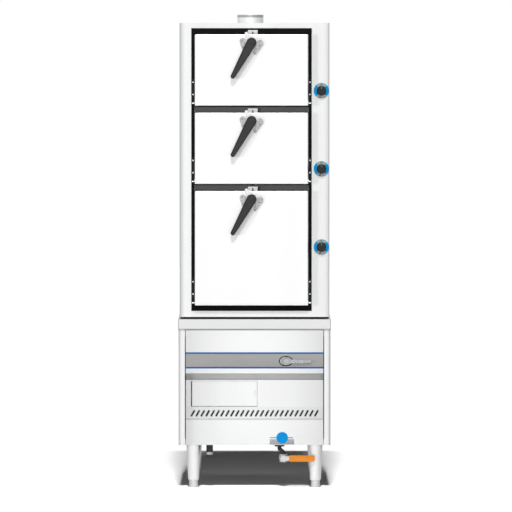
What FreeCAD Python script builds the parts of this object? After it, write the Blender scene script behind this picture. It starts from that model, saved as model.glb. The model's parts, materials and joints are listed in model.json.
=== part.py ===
import FreeCAD, Part

import math
import os
import re

import Sketcher

# Steam cabinet, gas heated, three chambers one above the other on a boiler base.
# Millimetres. +Z is up, the doors face -Y, the origin lies on the floor under the
# middle of the cabinet's box.

SIZES = {
    # base, counter and upper cabinet, from the floor up
    "leg_height": 171.0,
    "base_height": 464.0,
    "counter_height": 41.0,
    "seat_height": 9.0,
    "body_height": 1177.0,
    "body_width": 600.0,
    "base_step": 4.0,
    "counter_lip": 2.0,
    "body_depth": 826.0,
    "body_corner": 6.0,
    "skin": 2.0,
    "counter_overhang": 27.0,
    "seat_inset": 16.0,
    "seat_ring": 6.0,
    # rubber field around the doors
    "left_stile": 47.0,
    "dial_column": 71.0,
    "surround_thickness": 3.0,
    "surround_drop": 21.0,
    "field_margin": 25.0,
    "door_gap": 28.0,
    "seal_lap": 20.0,
    # doors
    "field_side": 14.5,
    "small_door": 285.0,
    "large_door": 458.0,
    "door_depth": 24.0,
    "door_round": 6.0,
    "door_inset": 15.0,
    "door_clearance": 1.0,
    "hinge_rise": 14.0,
    "hinge_stand": 15.0,
    "hinge_set_back": 20.0,
    "hinge_pin": 4.0,
    "running_fit": 0.05,
    "side_play": 1.5,
    "ear": 3.0,
    "bracket_width": 9.0,
    "bracket_height": 108.0,
    "boss": 9.0,
    "screw_low": 45.0,
    "screw_high": 94.0,
    "screw_head": 3.4,
    "screw_dome": 2.0,
    # latches
    "latch_drop": 33.0,
    "latch_tilt": 29.0,
    "lever_reach": 154.0,
    "lever_head": 20.0,
    "lever_tip": 9.0,
    "lever_thickness": 20.0,
    "lever_round": 4.0,
    "lever_stand": 6.0,
    "plate_thickness": 3.0,
    "plate_gap": 1.0,
    "hook_thickness": 4.0,
    "hook_width": 6.5,
    "hook_reach": 42.0,
    "hook_rod": 2.5,
    "hook_disc": 5.5,
    "hook_disc_width": 4.0,
    "spindle": 6.0,
    "keeper_width": 39.0,
    "keeper_height": 19.0,
    "keeper_tuck": 2.0,
    "keeper_shift": 5.0,
    "keeper_sheet": 2.0,
    "keeper_lip": 5.0,
    "keeper_hole": 3.5,
    # chambers and racks
    "rear_space": 186.0,
    "chamber_sheet": 2.0,
    "rail_width": 12.0,
    "rail_rise": 55.0,
    "second_rail_rise": 225.0,
    "rack_sheet": 4.0,
    "rack_play": 2.0,
    "rack_rim": 16.0,
    "rack_slot": 14.0,
    "rack_pitch": 24.0,
    "insulation_back": 50.0,
    "valve_room": 15.5,
    "panel_play": 2.0,
    # steam valves, dials and knobs
    "knob_edge": 32.0,
    "knob_drop": 225.0,
    "knob_radius": 19.5,
    "knob_height": 24.0,
    "knob_flats": 8.0,
    "knob_flat_cut": 1.4,
    "dial_radius": 31.0,
    "dial_thickness": 2.0,
    "stem": 4.0,
    "valve_radius": 16.0,
    "valve_length": 30.0,
    "valve_depth": 90.0,
    "riser_radius": 9.0,
    "branch_radius": 8.0,
    "pipe_play": 1.0,
    # flue
    "flue_shift": -17.0,
    "flue_from_back": 80.0,
    "flue_radius": 51.0,
    "flue_wall": 1.5,
    "collar_height": 36.0,
    "collar_radius": 53.0,
    "collar_rim": 9.0,
    "collar_bead": 1.2,
    # base front
    "post": 25.0,
    "front_gap": 4.5,
    "fascia_set_back": 5.0,
    "fascia_step": 30.0,
    "fascia_height": 175.0,
    "fascia_slope": 27.0,
    "kick_height": 105.0,
    "strip_top": 91.0,
    "strip_height": 65.0,
    "strip_sheet": 1.0,
    "hatch_margin": 20.5,
    "hatch_width": 267.0,
    "hatch_bottom": 49.0,
    "hatch_top": 5.0,
    "hatch_gap": 2.0,
    "hatch_hinge_gap": 6.0,
    "hatch_knuckle": 2.5,
    "hatch_notch": 13.0,
    "hatch_lug": 5.0,
    "vent_margin": 28.5,
    "vent_end": 27.5,
    "vent_count": 26.0,
    "vent_rise": 22.0,
    "vent_length": 27.0,
    "vent_width": 5.5,
    "vent_lean": 29.0,
    # gas valve and its lever
    "gas_from_end": 149.5,
    "gas_drop": 127.5,
    "gas_hole_width": 54.0,
    "gas_hole_height": 40.0,
    "gas_body": 17.0,
    "gas_body_length": 62.0,
    "gas_hub": 13.0,
    "gas_hub_height": 16.0,
    "gas_lever_reach": 95.0,
    "gas_lever_root": 8.0,
    "gas_lever_tip": 6.0,
    "gas_lever_thickness": 3.0,
    "gas_line": 8.0,
    # boiler, burner, blower and water level float
    "tank_left": -150.0,
    "tank_right": 220.0,
    "tank_front": 115.0,
    "tank_depth": 570.0,
    "tank_bottom": 160.0,
    "tank_height": 270.0,
    "tank_skirt": 120.0,
    "tank_sheet": 3.0,
    "skirt_notch": 110.0,
    "burner_radius": 110.0,
    "burner_height": 36.0,
    "burner_rise": 38.0,
    "burner_ports": 24.0,
    "burner_port": 4.0,
    "blower_radius": 72.0,
    "blower_length": 62.0,
    "blower_wall": 2.0,
    "blower_inlet": 36.0,
    "blower_edge": 14.0,
    "blower_back": 150.0,
    "blower_rise": 110.0,
    "wheel_radius": 58.0,
    "wheel_length": 40.0,
    "wheel_blades": 20.0,
    "axle": 5.0,
    "float_box_left": -245.0,
    "float_box_width": 190.0,
    "float_box_height": 95.0,
    "float_box_depth": 60.0,
    "float_box_rise": 165.0,
    "float_box_sheet": 1.5,
    "float_ball": 20.0,
    "float_arm": 118.0,
    "float_rod": 2.5,
    "float_room": 4.0,
    # gas inlet and drain
    "inlet_from_leg": 64.0,
    "inlet_set_back": 25.0,
    "inlet_nut": 13.5,
    "inlet_nut_height": 29.0,
    "inlet_ring": 12.5,
    "inlet_ring_height": 15.0,
    "inlet_bore": 7.5,
    "drain_shift": 100.0,
    "drain_set_back": 25.0,
    "drain_pipe": 8.0,
    "drain_flange": 20.0,
    "drain_flange_height": 7.0,
    "drain_drop": 16.0,
    "drain_lean": 16.0,
    "drain_elbow_drop": 14.0,
    "drain_valve": 18.0,
    "drain_valve_height": 32.0,
    "drain_bore": 6.0,
    "drain_stem": 5.0,
    "drain_stem_length": 12.0,
    "drain_lever_reach": 126.0,
    "drain_lever_sleeve": 104.0,
    "drain_lever_width": 25.0,
    "drain_lever_thickness": 11.0,
    "drain_lever_end": 10.0,
    # legs and feet
    "leg_inset": 60.0,
    "leg_front": 30.0,
    "leg_back": 56.0,
    "leg_top": 29.5,
    "leg_bottom": 22.0,
    "leg_plate": 36.0,
    "leg_plate_height": 4.0,
    "leg_chamfer": 4.0,
    "foot_radius": 18.0,
    "foot_height": 28.0,
    "foot_groove": 1.5,
    "foot_stem": 8.0,
    "foot_stem_length": 40.0,
}

FORMULAS = {
    # heights of the stack
    "base_bottom": "leg_height",
    "base_top": "base_bottom + base_height",
    "counter_top": "base_top + counter_height",
    "body_bottom": "counter_top + seat_height",
    "body_top": "body_bottom + body_height",
    "body_half": "body_width / 2",
    "base_half": "body_half + base_step",
    "counter_half": "base_half + counter_lip",
    # depths, measured so that the whole reach from lever to rear cover is centred
    "lever_reach_out": "plate_thickness + plate_gap + hook_thickness + lever_stand + lever_thickness",
    "front_reach": "surround_thickness + hinge_stand + hinge_set_back + lever_reach_out",
    "overall_depth": "front_reach + body_depth + skin",
    "body_front": "front_reach - overall_depth / 2",
    "body_back": "body_front + body_depth",
    "field_face": "body_front - surround_thickness",
    "hinge_y": "field_face - hinge_stand",
    "door_face": "hinge_y - hinge_set_back",
    "door_rear": "door_face + door_depth",
    "plate_face": "door_face - plate_thickness",
    "hook_back": "plate_face - plate_gap",
    "hook_face": "hook_back - hook_thickness",
    "lever_back": "hook_face - lever_stand",
    "lever_face": "lever_back - lever_thickness",
    "counter_front": "body_front - counter_overhang",
    "fascia_face": "counter_front + fascia_set_back",
    "lower_face": "fascia_face + fascia_step",
    # door field
    "field_top": "body_top - surround_drop",
    "field_bottom": "door_bottom_lower - field_margin + 2",
    "field_left": "left_stile - body_half",
    "field_right": "body_half - dial_column",
    "surround_shift": "(field_left + field_right) / 2",
    "door_left": "field_left + field_side",
    "door_right": "field_right - field_side",
    "door_top_upper": "field_top - field_margin",
    "door_bottom_upper": "door_top_upper - small_door",
    "door_top_middle": "door_bottom_upper - door_gap",
    "door_bottom_middle": "door_top_middle - small_door",
    "door_top_lower": "door_bottom_middle - door_gap",
    "door_bottom_lower": "door_top_lower - large_door",
    # chambers
    "chamber_left": "door_left + seal_lap",
    "chamber_right": "door_right - seal_lap",
    "chamber_depth": "body_depth - rear_space",
    "chamber_back": "body_front + chamber_depth",
    "insulation_rear": "chamber_back + insulation_back",
    "insulation_edge": "knob_x - valve_radius - valve_room",
    # steam side
    "knob_x": "body_half - knob_edge",
    "knob_back": "body_front - dial_thickness",
    "valve_front": "body_front + valve_depth",
    "valve_back": "valve_front + valve_length",
    "riser_y": "valve_back + riser_radius + pipe_play",
    "branch_y": "valve_front + valve_length / 2",
    "flue_y": "body_back - flue_from_back",
    # base front
    "panel_half": "base_half - post - front_gap + 1",
    "fascia_bottom": "base_top - fascia_height",
    "lower_top": "fascia_bottom - fascia_slope",
    "kick_top": "base_bottom + kick_height",
    "strip_high": "base_top - strip_top",
    "strip_low": "strip_high - strip_height",
    "gas_z": "base_top - gas_drop",
    "hatch_low": "kick_top + hatch_bottom",
    "hatch_high": "lower_top - hatch_top",
    "hatch_left": "panel_half - hatch_margin",
    "hatch_right": "hatch_width - hatch_left",
    "hatch_axis_x": "hatch_hinge_gap / 2 - hatch_left + 1",
    "hatch_axis_y": "lower_face - hatch_knuckle / 2",
    "gas_shift": "panel_half - gas_from_end",
    "vent_z": "kick_top + vent_rise",
    "vent_first": "vent_margin - panel_half",
    "vent_pitch": "(2 * panel_half - vent_margin - vent_end) / (vent_count - 1)",
    # base interior
    "tank_y": "lower_face + tank_front - skin",
    "tank_z": "base_bottom + tank_bottom",
    "tank_x": "(tank_left + tank_right) / 2",
    "blower_y": "lower_face + blower_back + tank_front",
    "blower_z": "base_bottom + blower_rise",
    "blower_left": "skin + blower_edge - base_half",
    "burner_z": "base_bottom + burner_rise",
    "burner_y": "tank_y + tank_depth / 2",
    "float_y": "inlet_y + gas_line + float_room",
    "float_z": "base_bottom + float_box_rise",
    "float_axis_z": "float_z + float_box_height - 15",
    "float_axis_x": "float_box_left + 14",
    # fittings under the base
    "inlet_shift": "inlet_from_leg - leg_x",
    "inlet_y": "lower_face + inlet_set_back",
    "drain_y": "lower_face + drain_set_back",
    "drain_pipe_end": "base_bottom - drain_drop",
    "valve_x": "drain_shift + drain_lean",
    "drain_knee_z": "drain_pipe_end - drain_elbow_drop",
    "drain_valve_top": "drain_knee_z - drain_pipe",
    "drain_valve_z": "drain_valve_top - drain_valve_height / 2",
    "drain_lever_back": "drain_y - drain_valve - drain_stem_length",
    "leg_x": "base_half - leg_inset",
    "leg_y_front": "lower_face + leg_front",
    "leg_y_back": "body_back - leg_back",
}

TIERS = ("upper", "middle", "lower")

doc = FreeCAD.newDocument("steam_cabinet")
sheet = doc.addObject("Spreadsheet::Sheet", "Sizes")
for row, (alias, number) in enumerate(SIZES.items(), start=1):
    sheet.set(f"A{row}", alias)
    sheet.set(f"B{row}", str(number))
    sheet.setAlias(f"B{row}", alias)
doc.recompute()

gauge = doc.addObject("App::FeaturePython", "Gauge")
gauge.addProperty("App::PropertyFloat", "Reading")


def expand(formula):
    """Write a formula out until each word in it is a cell of the sheet."""

    def word(match):
        name = match.group(0)
        if name in FORMULAS:
            return "(" + expand(FORMULAS[name]) + ")"
        if name in SIZES:
            return "Sizes." + name
        return name

    return re.sub(r"[a-z_][a-z_0-9]*", word, str(formula))


def value(formula):
    """Read what a formula comes to with the sheet as it stands."""
    gauge.setExpression("Reading", expand(formula))
    gauge.recompute()
    return gauge.Reading


def vector(x, y, z):
    return FreeCAD.Vector(value(x), value(y), value(z))


# Primitives, each bound to the sheet

X_AXIS = FreeCAD.Vector(1, 0, 0)
Y_AXIS = FreeCAD.Vector(0, 1, 0)
Z_AXIS = FreeCAD.Vector(0, 0, 1)
TURNS = {
    "x": FreeCAD.Rotation(Y_AXIS, 90),
    "y": FreeCAD.Rotation(X_AXIS, -90),
    "z": FreeCAD.Rotation(),
}


def bind(item, **formulas):
    for name, formula in formulas.items():
        item.setExpression(name, expand(formula))


def place(item, x="0", y="0", z="0", turn=None, angle=None):
    """Put a piece at a bound place, turned about an axis by a bound angle."""
    if turn is not None:
        item.Placement = FreeCAD.Placement(FreeCAD.Vector(), turn)
    if angle is not None:
        item.setExpression("Placement.Rotation.Angle", expand(angle))
    for axis, formula in (("x", x), ("y", y), ("z", z)):
        item.setExpression("Placement.Base." + axis, expand(formula))
    return item


def block(name, xs, ys, zs):
    """A box between two faces along each axis."""
    item = doc.addObject("Part::Box", name)
    bind(
        item,
        Length=f"({xs[1]}) - ({xs[0]})",
        Width=f"({ys[1]}) - ({ys[0]})",
        Height=f"({zs[1]}) - ({zs[0]})",
    )
    return place(item, xs[0], ys[0], zs[0])


def rod(name, axis, start, radius, length):
    """A round bar from its start along +X, +Y or +Z."""
    item = doc.addObject("Part::Cylinder", name)
    bind(item, Radius=radius, Height=length)
    return place(item, *start, turn=TURNS[axis])


def cone(name, start, low, high, length):
    item = doc.addObject("Part::Cone", name)
    bind(item, Radius1=low, Radius2=high, Height=length)
    return place(item, *start)


def ball(name, centre, radius):
    item = doc.addObject("Part::Sphere", name)
    bind(item, Radius=radius)
    return place(item, *centre)


def fuse(name, *items):
    result = doc.addObject("Part::MultiFuse", name)
    result.Shapes = list(items)
    return result


def cut(name, base, *tools):
    result = doc.addObject("Part::Cut", name)
    result.Base = base
    result.Tool = tools[0] if len(tools) == 1 else fuse(name + "_tools", *tools)
    return result


def group(name, *items):
    """Identical pieces that share a node and stay separate solids."""
    result = doc.addObject("Part::Compound", name)
    result.Links = list(items)
    return result


def pipe(name, axis, start, radius, wall, length):
    outer = rod(name + "_outer", axis, start, radius, length)
    inner = rod(name + "_inner", axis, start, f"{radius} - {wall}", length)
    return cut(name, outer, inner)


def round_edges(name, item, radius, chosen):
    """Round the straight edges of a piece that a test picks by their two ends."""
    doc.recompute()
    result = doc.addObject("Part::Fillet", name)
    result.Base = item
    picked = []
    for number, edge in enumerate(item.Shape.Edges, start=1):
        ends = [vertex.Point for vertex in edge.Vertexes]
        if len(ends) == 2 and chosen(*ends):
            picked.append((number, radius, radius))
    result.Edges = picked
    return result


def upright_at_front(first, last):
    middle = (first + last) * 0.5
    is_upright = abs(first.z - last.z) > abs(first.x - last.x) + abs(first.y - last.y)
    return is_upright and middle.y < 0


# Bodies drawn in sketches


def new_body(name):
    item = doc.addObject("PartDesign::Body", name)
    item.Label = name
    return item


def draw(body, name, role):
    plane = next(item for item in body.Origin.OriginFeatures if item.Role == role)
    sketch = body.newObject("Sketcher::SketchObject", name)
    sketch.AttachmentSupport = [(plane, "")]
    sketch.MapMode = "FlatFace"
    return sketch


def hold(sketch, kind, *where, formula):
    """Add a dimension to a sketch and bind it."""
    index = sketch.addConstraint(Sketcher.Constraint(kind, *where, value(formula)))
    sketch.setExpression(f"Constraints[{index}]", expand(formula))


def hold_point(sketch, geometry, point, across, up):
    hold(sketch, "DistanceX", -1, 1, geometry, point, formula=across)
    hold(sketch, "DistanceY", -1, 1, geometry, point, formula=up)


def outline(sketch, points):
    """A closed outline of straight lines through points given as formulas."""
    places = [vector(across, up, "0") for across, up in points]
    lines = []
    for first, last in zip(places, places[1:] + places[:1]):
        lines.append(sketch.addGeometry(Part.LineSegment(first, last), False))
    for line, following in zip(lines, lines[1:] + lines[:1]):
        sketch.addConstraint(Sketcher.Constraint("Coincident", line, 2, following, 1))
    for line, (across, up) in zip(lines, points):
        hold_point(sketch, line, 1, across, up)


def rectangle(sketch, left, right, low, high):
    outline(sketch, [(left, low), (right, low), (right, high), (left, high)])


def circle(sketch, across, up, radius):
    centre = vector(across, up, "0")
    item = sketch.addGeometry(Part.Circle(centre, Z_AXIS, value(radius)), False)
    hold_point(sketch, item, 3, across, up)
    hold(sketch, "Radius", item, formula=radius)


def belt(sketch, first, first_radius, second, second_radius):
    """The outline of a belt around two circles: a lever, a link or a slot."""
    centres = [vector(*first, "0"), vector(*second, "0")]
    radii = [value(first_radius), value(second_radius)]
    span = centres[1] - centres[0]
    heading = math.atan2(span.y, span.x)
    lean = math.acos((radii[0] - radii[1]) / span.Length)
    starts = (heading + lean, heading - lean)
    sweeps = (2 * (math.pi - lean), 2 * lean)
    arcs = []
    for centre, radius, start, sweep in zip(centres, radii, starts, sweeps):
        curve = Part.ArcOfCircle(Part.Circle(centre, Z_AXIS, radius), start, start + sweep)
        arcs.append(sketch.addGeometry(curve, False))
    for arc, other in (arcs, reversed(arcs)):
        line = Part.LineSegment(sketch.getPoint(arc, 2), sketch.getPoint(other, 1))
        side = sketch.addGeometry(line, False)
        sketch.addConstraint(Sketcher.Constraint("Tangent", arc, 2, side, 1))
        sketch.addConstraint(Sketcher.Constraint("Tangent", side, 2, other, 1))
    for arc, where, radius in ((arcs[0], first, first_radius), (arcs[1], second, second_radius)):
        hold_point(sketch, arc, 3, *where)
        hold(sketch, "Radius", arc, formula=radius)


def pad(body, sketch, length, both=False):
    item = body.newObject("PartDesign::Pad", sketch.Name + "_pad")
    item.Profile = sketch
    item.Midplane = both
    bind(item, Length=length)
    return item


def pocket(body, sketch, length, reverse=False):
    item = body.newObject("PartDesign::Pocket", sketch.Name + "_pocket")
    item.Profile = sketch
    item.Reversed = reverse
    bind(item, Length=length)
    return item


def revolve(body, name, points, role="XZ_Plane", about="V_Axis"):
    """Turn an outline of radius and height once around the body's own axis."""
    sketch = draw(body, name, role)
    outline(sketch, points)
    item = body.newObject("PartDesign::Revolution", name + "_turn")
    item.Profile = sketch
    item.ReferenceAxis = (sketch, [about])
    item.Angle = 360
    return item


def repeat_round(body, feature, sketch, count):
    item = body.newObject("PartDesign::PolarPattern", feature.Name + "_round")
    item.Originals = [feature]
    item.Axis = (sketch, ["N_Axis"])
    item.Angle = 360
    bind(item, Occurrences=count)
    body.Tip = item


def repeat_along(body, feature, sketch, pitch, count):
    item = body.newObject("PartDesign::LinearPattern", feature.Name + "_row")
    item.Originals = [feature]
    item.Direction = (sketch, ["H_Axis"])
    bind(item, Length=f"({pitch}) * ({count} - 1)", Occurrences=count)
    body.Tip = item


# Upper cabinet


def make_outer_shell():
    outer = block(
        "shell_outer",
        ("-body_half", "body_half"),
        ("body_front", "body_back"),
        ("body_bottom", "body_top"),
    )
    inner = block(
        "shell_inner",
        ("skin - body_half", "body_half - skin"),
        ("body_front + skin", "body_back + 1"),
        ("body_bottom - 1", "body_top - skin"),
    )
    corner = value("body_corner")
    outer_round = round_edges("shell_outer_round", outer, corner, upright_at_front)
    inner_round = round_edges("shell_inner_round", inner, corner - value("skin"), upright_at_front)
    window = block(
        "shell_window",
        ("chamber_left - chamber_sheet", "chamber_right + chamber_sheet"),
        ("body_front - 1", "body_front + skin + 1"),
        ("chamber_low_lower - chamber_sheet", "chamber_high_upper + chamber_sheet"),
    )
    stem_holes = [
        rod(
            f"shell_stem_hole_{tier}",
            "y",
            ("knob_x", "body_front - 1", f"knob_z_{tier}"),
            "stem + pipe_play / 2",
            "skin + 2",
        )
        for tier in TIERS
    ]
    flue_hole = rod(
        "shell_flue_hole",
        "z",
        ("flue_shift", "flue_y", "body_top - skin - 1"),
        "flue_radius + running_fit",
        "skin + 2",
    )
    cut("outer_shell", outer_round, inner_round, window, flue_hole, *stem_holes)


def make_rear_cover():
    block(
        "rear_cover",
        ("-body_half", "body_half"),
        ("body_back", "body_back + skin"),
        ("body_bottom", "body_top"),
    )


def branch_hole(name, tier, radius):
    return rod(
        name,
        "x",
        ("chamber_right - 1", "branch_y", f"knob_z_{tier}"),
        radius,
        "insulation_edge - chamber_right + 2",
    )


def make_insulation():
    blanket = block(
        "insulation_blanket",
        ("skin + panel_play - body_half", "insulation_edge"),
        ("body_front + skin + panel_play", "insulation_rear"),
        ("body_bottom", "body_top - skin - panel_play"),
    )
    pockets = [
        block(
            f"insulation_pocket_{tier}",
            ("chamber_left - chamber_sheet", "chamber_right + chamber_sheet"),
            ("body_front", "chamber_back + chamber_sheet"),
            (f"chamber_low_{tier} - chamber_sheet", f"chamber_high_{tier} + chamber_sheet"),
        )
        for tier in TIERS
    ]
    holes = [branch_hole(f"insulation_hole_{tier}", tier, "branch_radius + pipe_play") for tier in TIERS]
    corner = value("body_corner")
    soft = round_edges("insulation_soft", blanket, corner, upright_at_front)
    cut("insulation", soft, *pockets, *holes)


def make_chamber(tier):
    low = f"chamber_low_{tier}"
    high = f"chamber_high_{tier}"
    name = f"chamber_{tier}"
    outer = block(
        f"{name}_outer",
        ("chamber_left - chamber_sheet", "chamber_right + chamber_sheet"),
        ("body_front", "chamber_back + chamber_sheet"),
        (f"{low} - chamber_sheet", f"{high} + chamber_sheet"),
    )
    inner = block(
        f"{name}_inner",
        ("chamber_left", "chamber_right"),
        ("body_front - 1", "chamber_back"),
        (low, high),
    )
    hole = branch_hole(f"{name}_hole", tier, "branch_radius + running_fit")
    rises = ["rail_rise"]
    if tier == "lower":
        rises.append("second_rail_rise")
    rails = []
    for level, rise in enumerate(rises):
        sides = (
            ("chamber_left - 1", "chamber_left + rail_width"),
            ("chamber_right - rail_width", "chamber_right + 1"),
        )
        for side, xs in zip(("left", "right"), sides):
            rail = block(
                f"{name}_rail_{side}_{level}",
                xs,
                ("body_front + rail_width", "chamber_back"),
                (f"{low} + {rise} - chamber_sheet", f"{low} + {rise}"),
            )
            rails.append(rail)
    hollow = cut(f"{name}_hollow", outer, inner, hole)
    fuse(f"{name}_liner", hollow, *rails)


def make_rack(name, tier, rise):
    """A sheet with a row of long slots, lying loose on its two rails."""
    body = new_body(name)
    half = "((chamber_right - chamber_left) / 2 - rack_play)"
    reach = "(chamber_depth - 2 * rail_width)"
    plate = draw(body, name + "_plate", "XY_Plane")
    rectangle(plate, f"-{half}", half, "0", reach)
    pad(body, plate, "rack_sheet")
    slot = draw(body, name + "_slot", "XY_Plane")
    first = f"(rack_rim - {half})"
    rectangle(slot, first, f"{first} + rack_slot", "rack_rim", f"{reach} - rack_rim")
    opening = pocket(body, slot, "rack_sheet", reverse=True)
    count = f"floor((2 * {half} - 2 * rack_rim - rack_slot) / rack_pitch) + 1"
    repeat_along(body, opening, slot, "rack_pitch", count)
    return place(body, "surround_shift", "body_front + rail_width", f"chamber_low_{tier} + {rise}")


def make_racks():
    group(
        "steam_racks",
        make_rack("rack_upper", "upper", "rail_rise"),
        make_rack("rack_middle", "middle", "rail_rise"),
        make_rack("rack_lower", "lower", "rail_rise"),
        make_rack("rack_lower_top", "lower", "second_rail_rise"),
    )


def make_surround():
    sheet_block = block(
        "surround_sheet",
        ("field_left", "field_right"),
        ("field_face", "body_front"),
        ("field_bottom", "field_top"),
    )
    mouths = [
        block(
            f"surround_mouth_{tier}",
            ("chamber_left", "chamber_right"),
            ("field_face - 1", "body_front + 1"),
            (f"chamber_low_{tier}", f"chamber_high_{tier}"),
        )
        for tier in TIERS
    ]
    cut("door_surround", sheet_block, *mouths)


# Doors


def hinge_sides():
    """For each side its name, the door's edge and which way is outward."""
    return (("left", "door_left", "-"), ("right", "door_right", "+"))


def make_door_outer(tier):
    name = f"door_{tier}"
    low = f"door_bottom_{tier}"
    high = f"door_top_{tier}"
    solid = block(f"{name}_solid", ("door_left", "door_right"), ("door_face", "door_rear"), (low, high))
    face = value("door_face")

    def on_front(first, last):
        return max(abs(first.y - face), abs(last.y - face)) < 0.001

    def upright(first, last):
        return abs(first.z - last.z) > 1 and abs(first.x - last.x) < 0.001

    corners = round_edges(f"{name}_corners", solid, value("door_round"), upright)
    rounded = round_edges(f"{name}_rounded", corners, value("door_round") * 0.6, on_front)
    inside = block(
        f"{name}_inside",
        ("door_left + skin", "door_right - skin"),
        ("door_face + skin", "door_rear + 1"),
        (f"{low} + skin", f"{high} - skin"),
    )
    pan = cut(f"{name}_pan", rounded, inside)
    bosses = []
    bores = []
    for side, edge, out in hinge_sides():
        inner = f"{edge} {'+' if out == '-' else '-'} (skin + boss)"
        xs = (edge + " + skin / 2", inner) if out == "-" else (inner, edge + " - skin / 2")
        boss = block(
            f"{name}_boss_{side}",
            xs,
            ("door_face + skin / 2", "door_rear"),
            (f"{low} + skin / 2", f"{low} + hinge_rise + boss"),
        )
        bosses.append(boss)
        start = edge + " - 1" if out == "-" else inner
        bore = rod(
            f"{name}_bore_{side}",
            "x",
            (start, "hinge_y", f"{low} + hinge_rise"),
            "hinge_pin + running_fit",
            "skin + boss + 1",
        )
        bores.append(bore)
    spindle_bore = rod(
        f"{name}_spindle_bore",
        "y",
        ("surround_shift", "door_face - 1", f"latch_z_{tier}"),
        "spindle + running_fit",
        "skin + 2",
    )
    body = fuse(f"{name}_bossed", pan, *bosses)
    cut(f"{name}_outer", body, spindle_bore, *bores)


def make_door_inner(tier):
    """The door's rear pan: it closes the outer pan and comes close to the rubber."""
    name = f"door_{tier}_inner"
    rear = "field_face - door_clearance"
    plate = block(
        f"{name}_plate",
        ("door_left + door_inset", "door_right - door_inset"),
        ("door_rear - skin", rear),
        (f"door_bottom_{tier} + door_inset", f"door_top_{tier} - door_inset"),
    )
    dish = block(
        f"{name}_dish",
        ("door_left + door_inset + seal_lap", "door_right - door_inset - seal_lap"),
        ("door_rear", f"{rear} + 1"),
        (f"door_bottom_{tier} + door_inset + seal_lap", f"door_top_{tier} - door_inset - seal_lap"),
    )
    cut(name, plate, dish)


def make_hinges():
    brackets = []
    pins = []
    screws = []
    for tier in TIERS:
        low = f"door_bottom_{tier}"
        axis_z = f"{low} + hinge_rise"
        for side, edge, out in hinge_sides():
            name = f"hinge_{tier}_{side}"
            near = f"{edge} {out} side_play"
            far = f"{near} {out} bracket_width"
            ear_far = f"{near} {out} ear"
            leaf_xs = (far, near) if out == "-" else (near, far)
            ear_xs = (ear_far, near) if out == "-" else (near, ear_far)
            leaf = block(
                f"{name}_leaf",
                leaf_xs,
                ("field_face - keeper_sheet", "field_face"),
                (f"{low} + 2", f"{low} + bracket_height"),
            )
            ear = block(
                f"{name}_ear",
                ear_xs,
                ("hinge_y", "field_face - keeper_sheet / 2"),
                (f"{axis_z} - boss", f"{axis_z} + boss"),
            )
            nose = rod(f"{name}_nose", "x", (ear_xs[0], "hinge_y", axis_z), "boss", "ear")
            eye = rod(
                f"{name}_eye",
                "x",
                (f"{ear_xs[0]} - 1", "hinge_y", axis_z),
                "hinge_pin + running_fit / 5",
                "ear + 2",
            )
            brackets.append(cut(name, fuse(f"{name}_solid", leaf, ear, nose), eye))
            pin_length = "ear + side_play + skin + boss - 2"
            pin_start = ear_far if out == "-" else f"{near} + ear - ({pin_length})"
            pins.append(rod(
                f"{name}_pin",
                "x",
                (pin_start, "hinge_y", axis_z),
                "hinge_pin",
                pin_length,
            ))
            centre_x = f"{edge} {out} (side_play + ear + (bracket_width - ear) / 2)"
            for height in ("screw_low", "screw_high"):
                head = rod(
                    f"{name}_{height}",
                    "y",
                    (centre_x, "field_face - keeper_sheet - screw_dome", f"{low} + {height}"),
                    "screw_head * 0.85",
                    "screw_dome",
                )
                screws.append(head)
    group("hinge_brackets", *brackets)
    group("hinge_pins", *pins)
    group("hinge_screws", *screws)


# Latches


def make_keepers():
    keepers = []
    for tier in TIERS:
        name = f"keeper_{tier}"
        low = f"door_top_{tier} - keeper_tuck"
        high = f"{low} + keeper_height"
        centre = "surround_shift + keeper_shift"
        xs = (f"{centre} - keeper_width / 2", f"{centre} + keeper_width / 2")
        lip_back = "door_rear - plate_gap / 2"
        plate = block(f"{name}_plate", xs, ("field_face - keeper_sheet", "field_face"), (low, high))
        web = block(
            f"{name}_web",
            xs,
            (f"{lip_back} - keeper_sheet", "field_face"),
            (f"{high} - keeper_sheet", high),
        )
        lip = block(
            f"{name}_lip",
            xs,
            (f"{lip_back} - keeper_sheet", lip_back),
            (f"{high} - keeper_lip", high),
        )
        hole = rod(
            f"{name}_hole",
            "y",
            (centre, "field_face - keeper_sheet - 1", f"{high} - keeper_lip - keeper_hole"),
            "keeper_hole * 0.8",
            "keeper_sheet + 2",
        )
        keepers.append(cut(name, fuse(f"{name}_solid", plate, web, lip), hole))
    group("latch_keepers", *keepers)


def make_latch_plate(tier):
    """A three-lobed plate behind the lever, in the lever's own tilted frame."""
    name = f"latch_{tier}_plate"
    body = new_body(name)
    long_arm = draw(body, f"{name}_long", "XZ_Plane")
    belt(
        long_arm,
        ("-lever_head * 0.7", "lever_head * 0.95"),
        "lever_head * 0.55",
        ("lever_head * 1.25", "-lever_head * 1.5"),
        "lever_head * 0.55",
    )
    pad(body, long_arm, "plate_thickness")
    cross_arm = draw(body, f"{name}_cross", "XZ_Plane")
    belt(
        cross_arm,
        ("-lever_head * 1.55", "lever_head * 0.9"),
        "lever_head * 0.6",
        ("lever_head * 1.3", "lever_head * 0.7"),
        "lever_head * 0.7",
    )
    pad(body, cross_arm, "plate_thickness")
    waist = draw(body, f"{name}_waist", "XZ_Plane")
    circle(waist, "0", "0", "lever_head * 1.15")
    pad(body, waist, "plate_thickness")
    bore = draw(body, f"{name}_bore", "XZ_Plane")
    circle(bore, "0", "0", "spindle + running_fit")
    body.Tip = pocket(body, bore, "plate_thickness", reverse=True)
    place(
        body,
        "surround_shift",
        "door_face",
        f"latch_z_{tier}",
        turn=FreeCAD.Rotation(Y_AXIS, 12),
        angle="latch_tilt / 3",
    )


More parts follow.
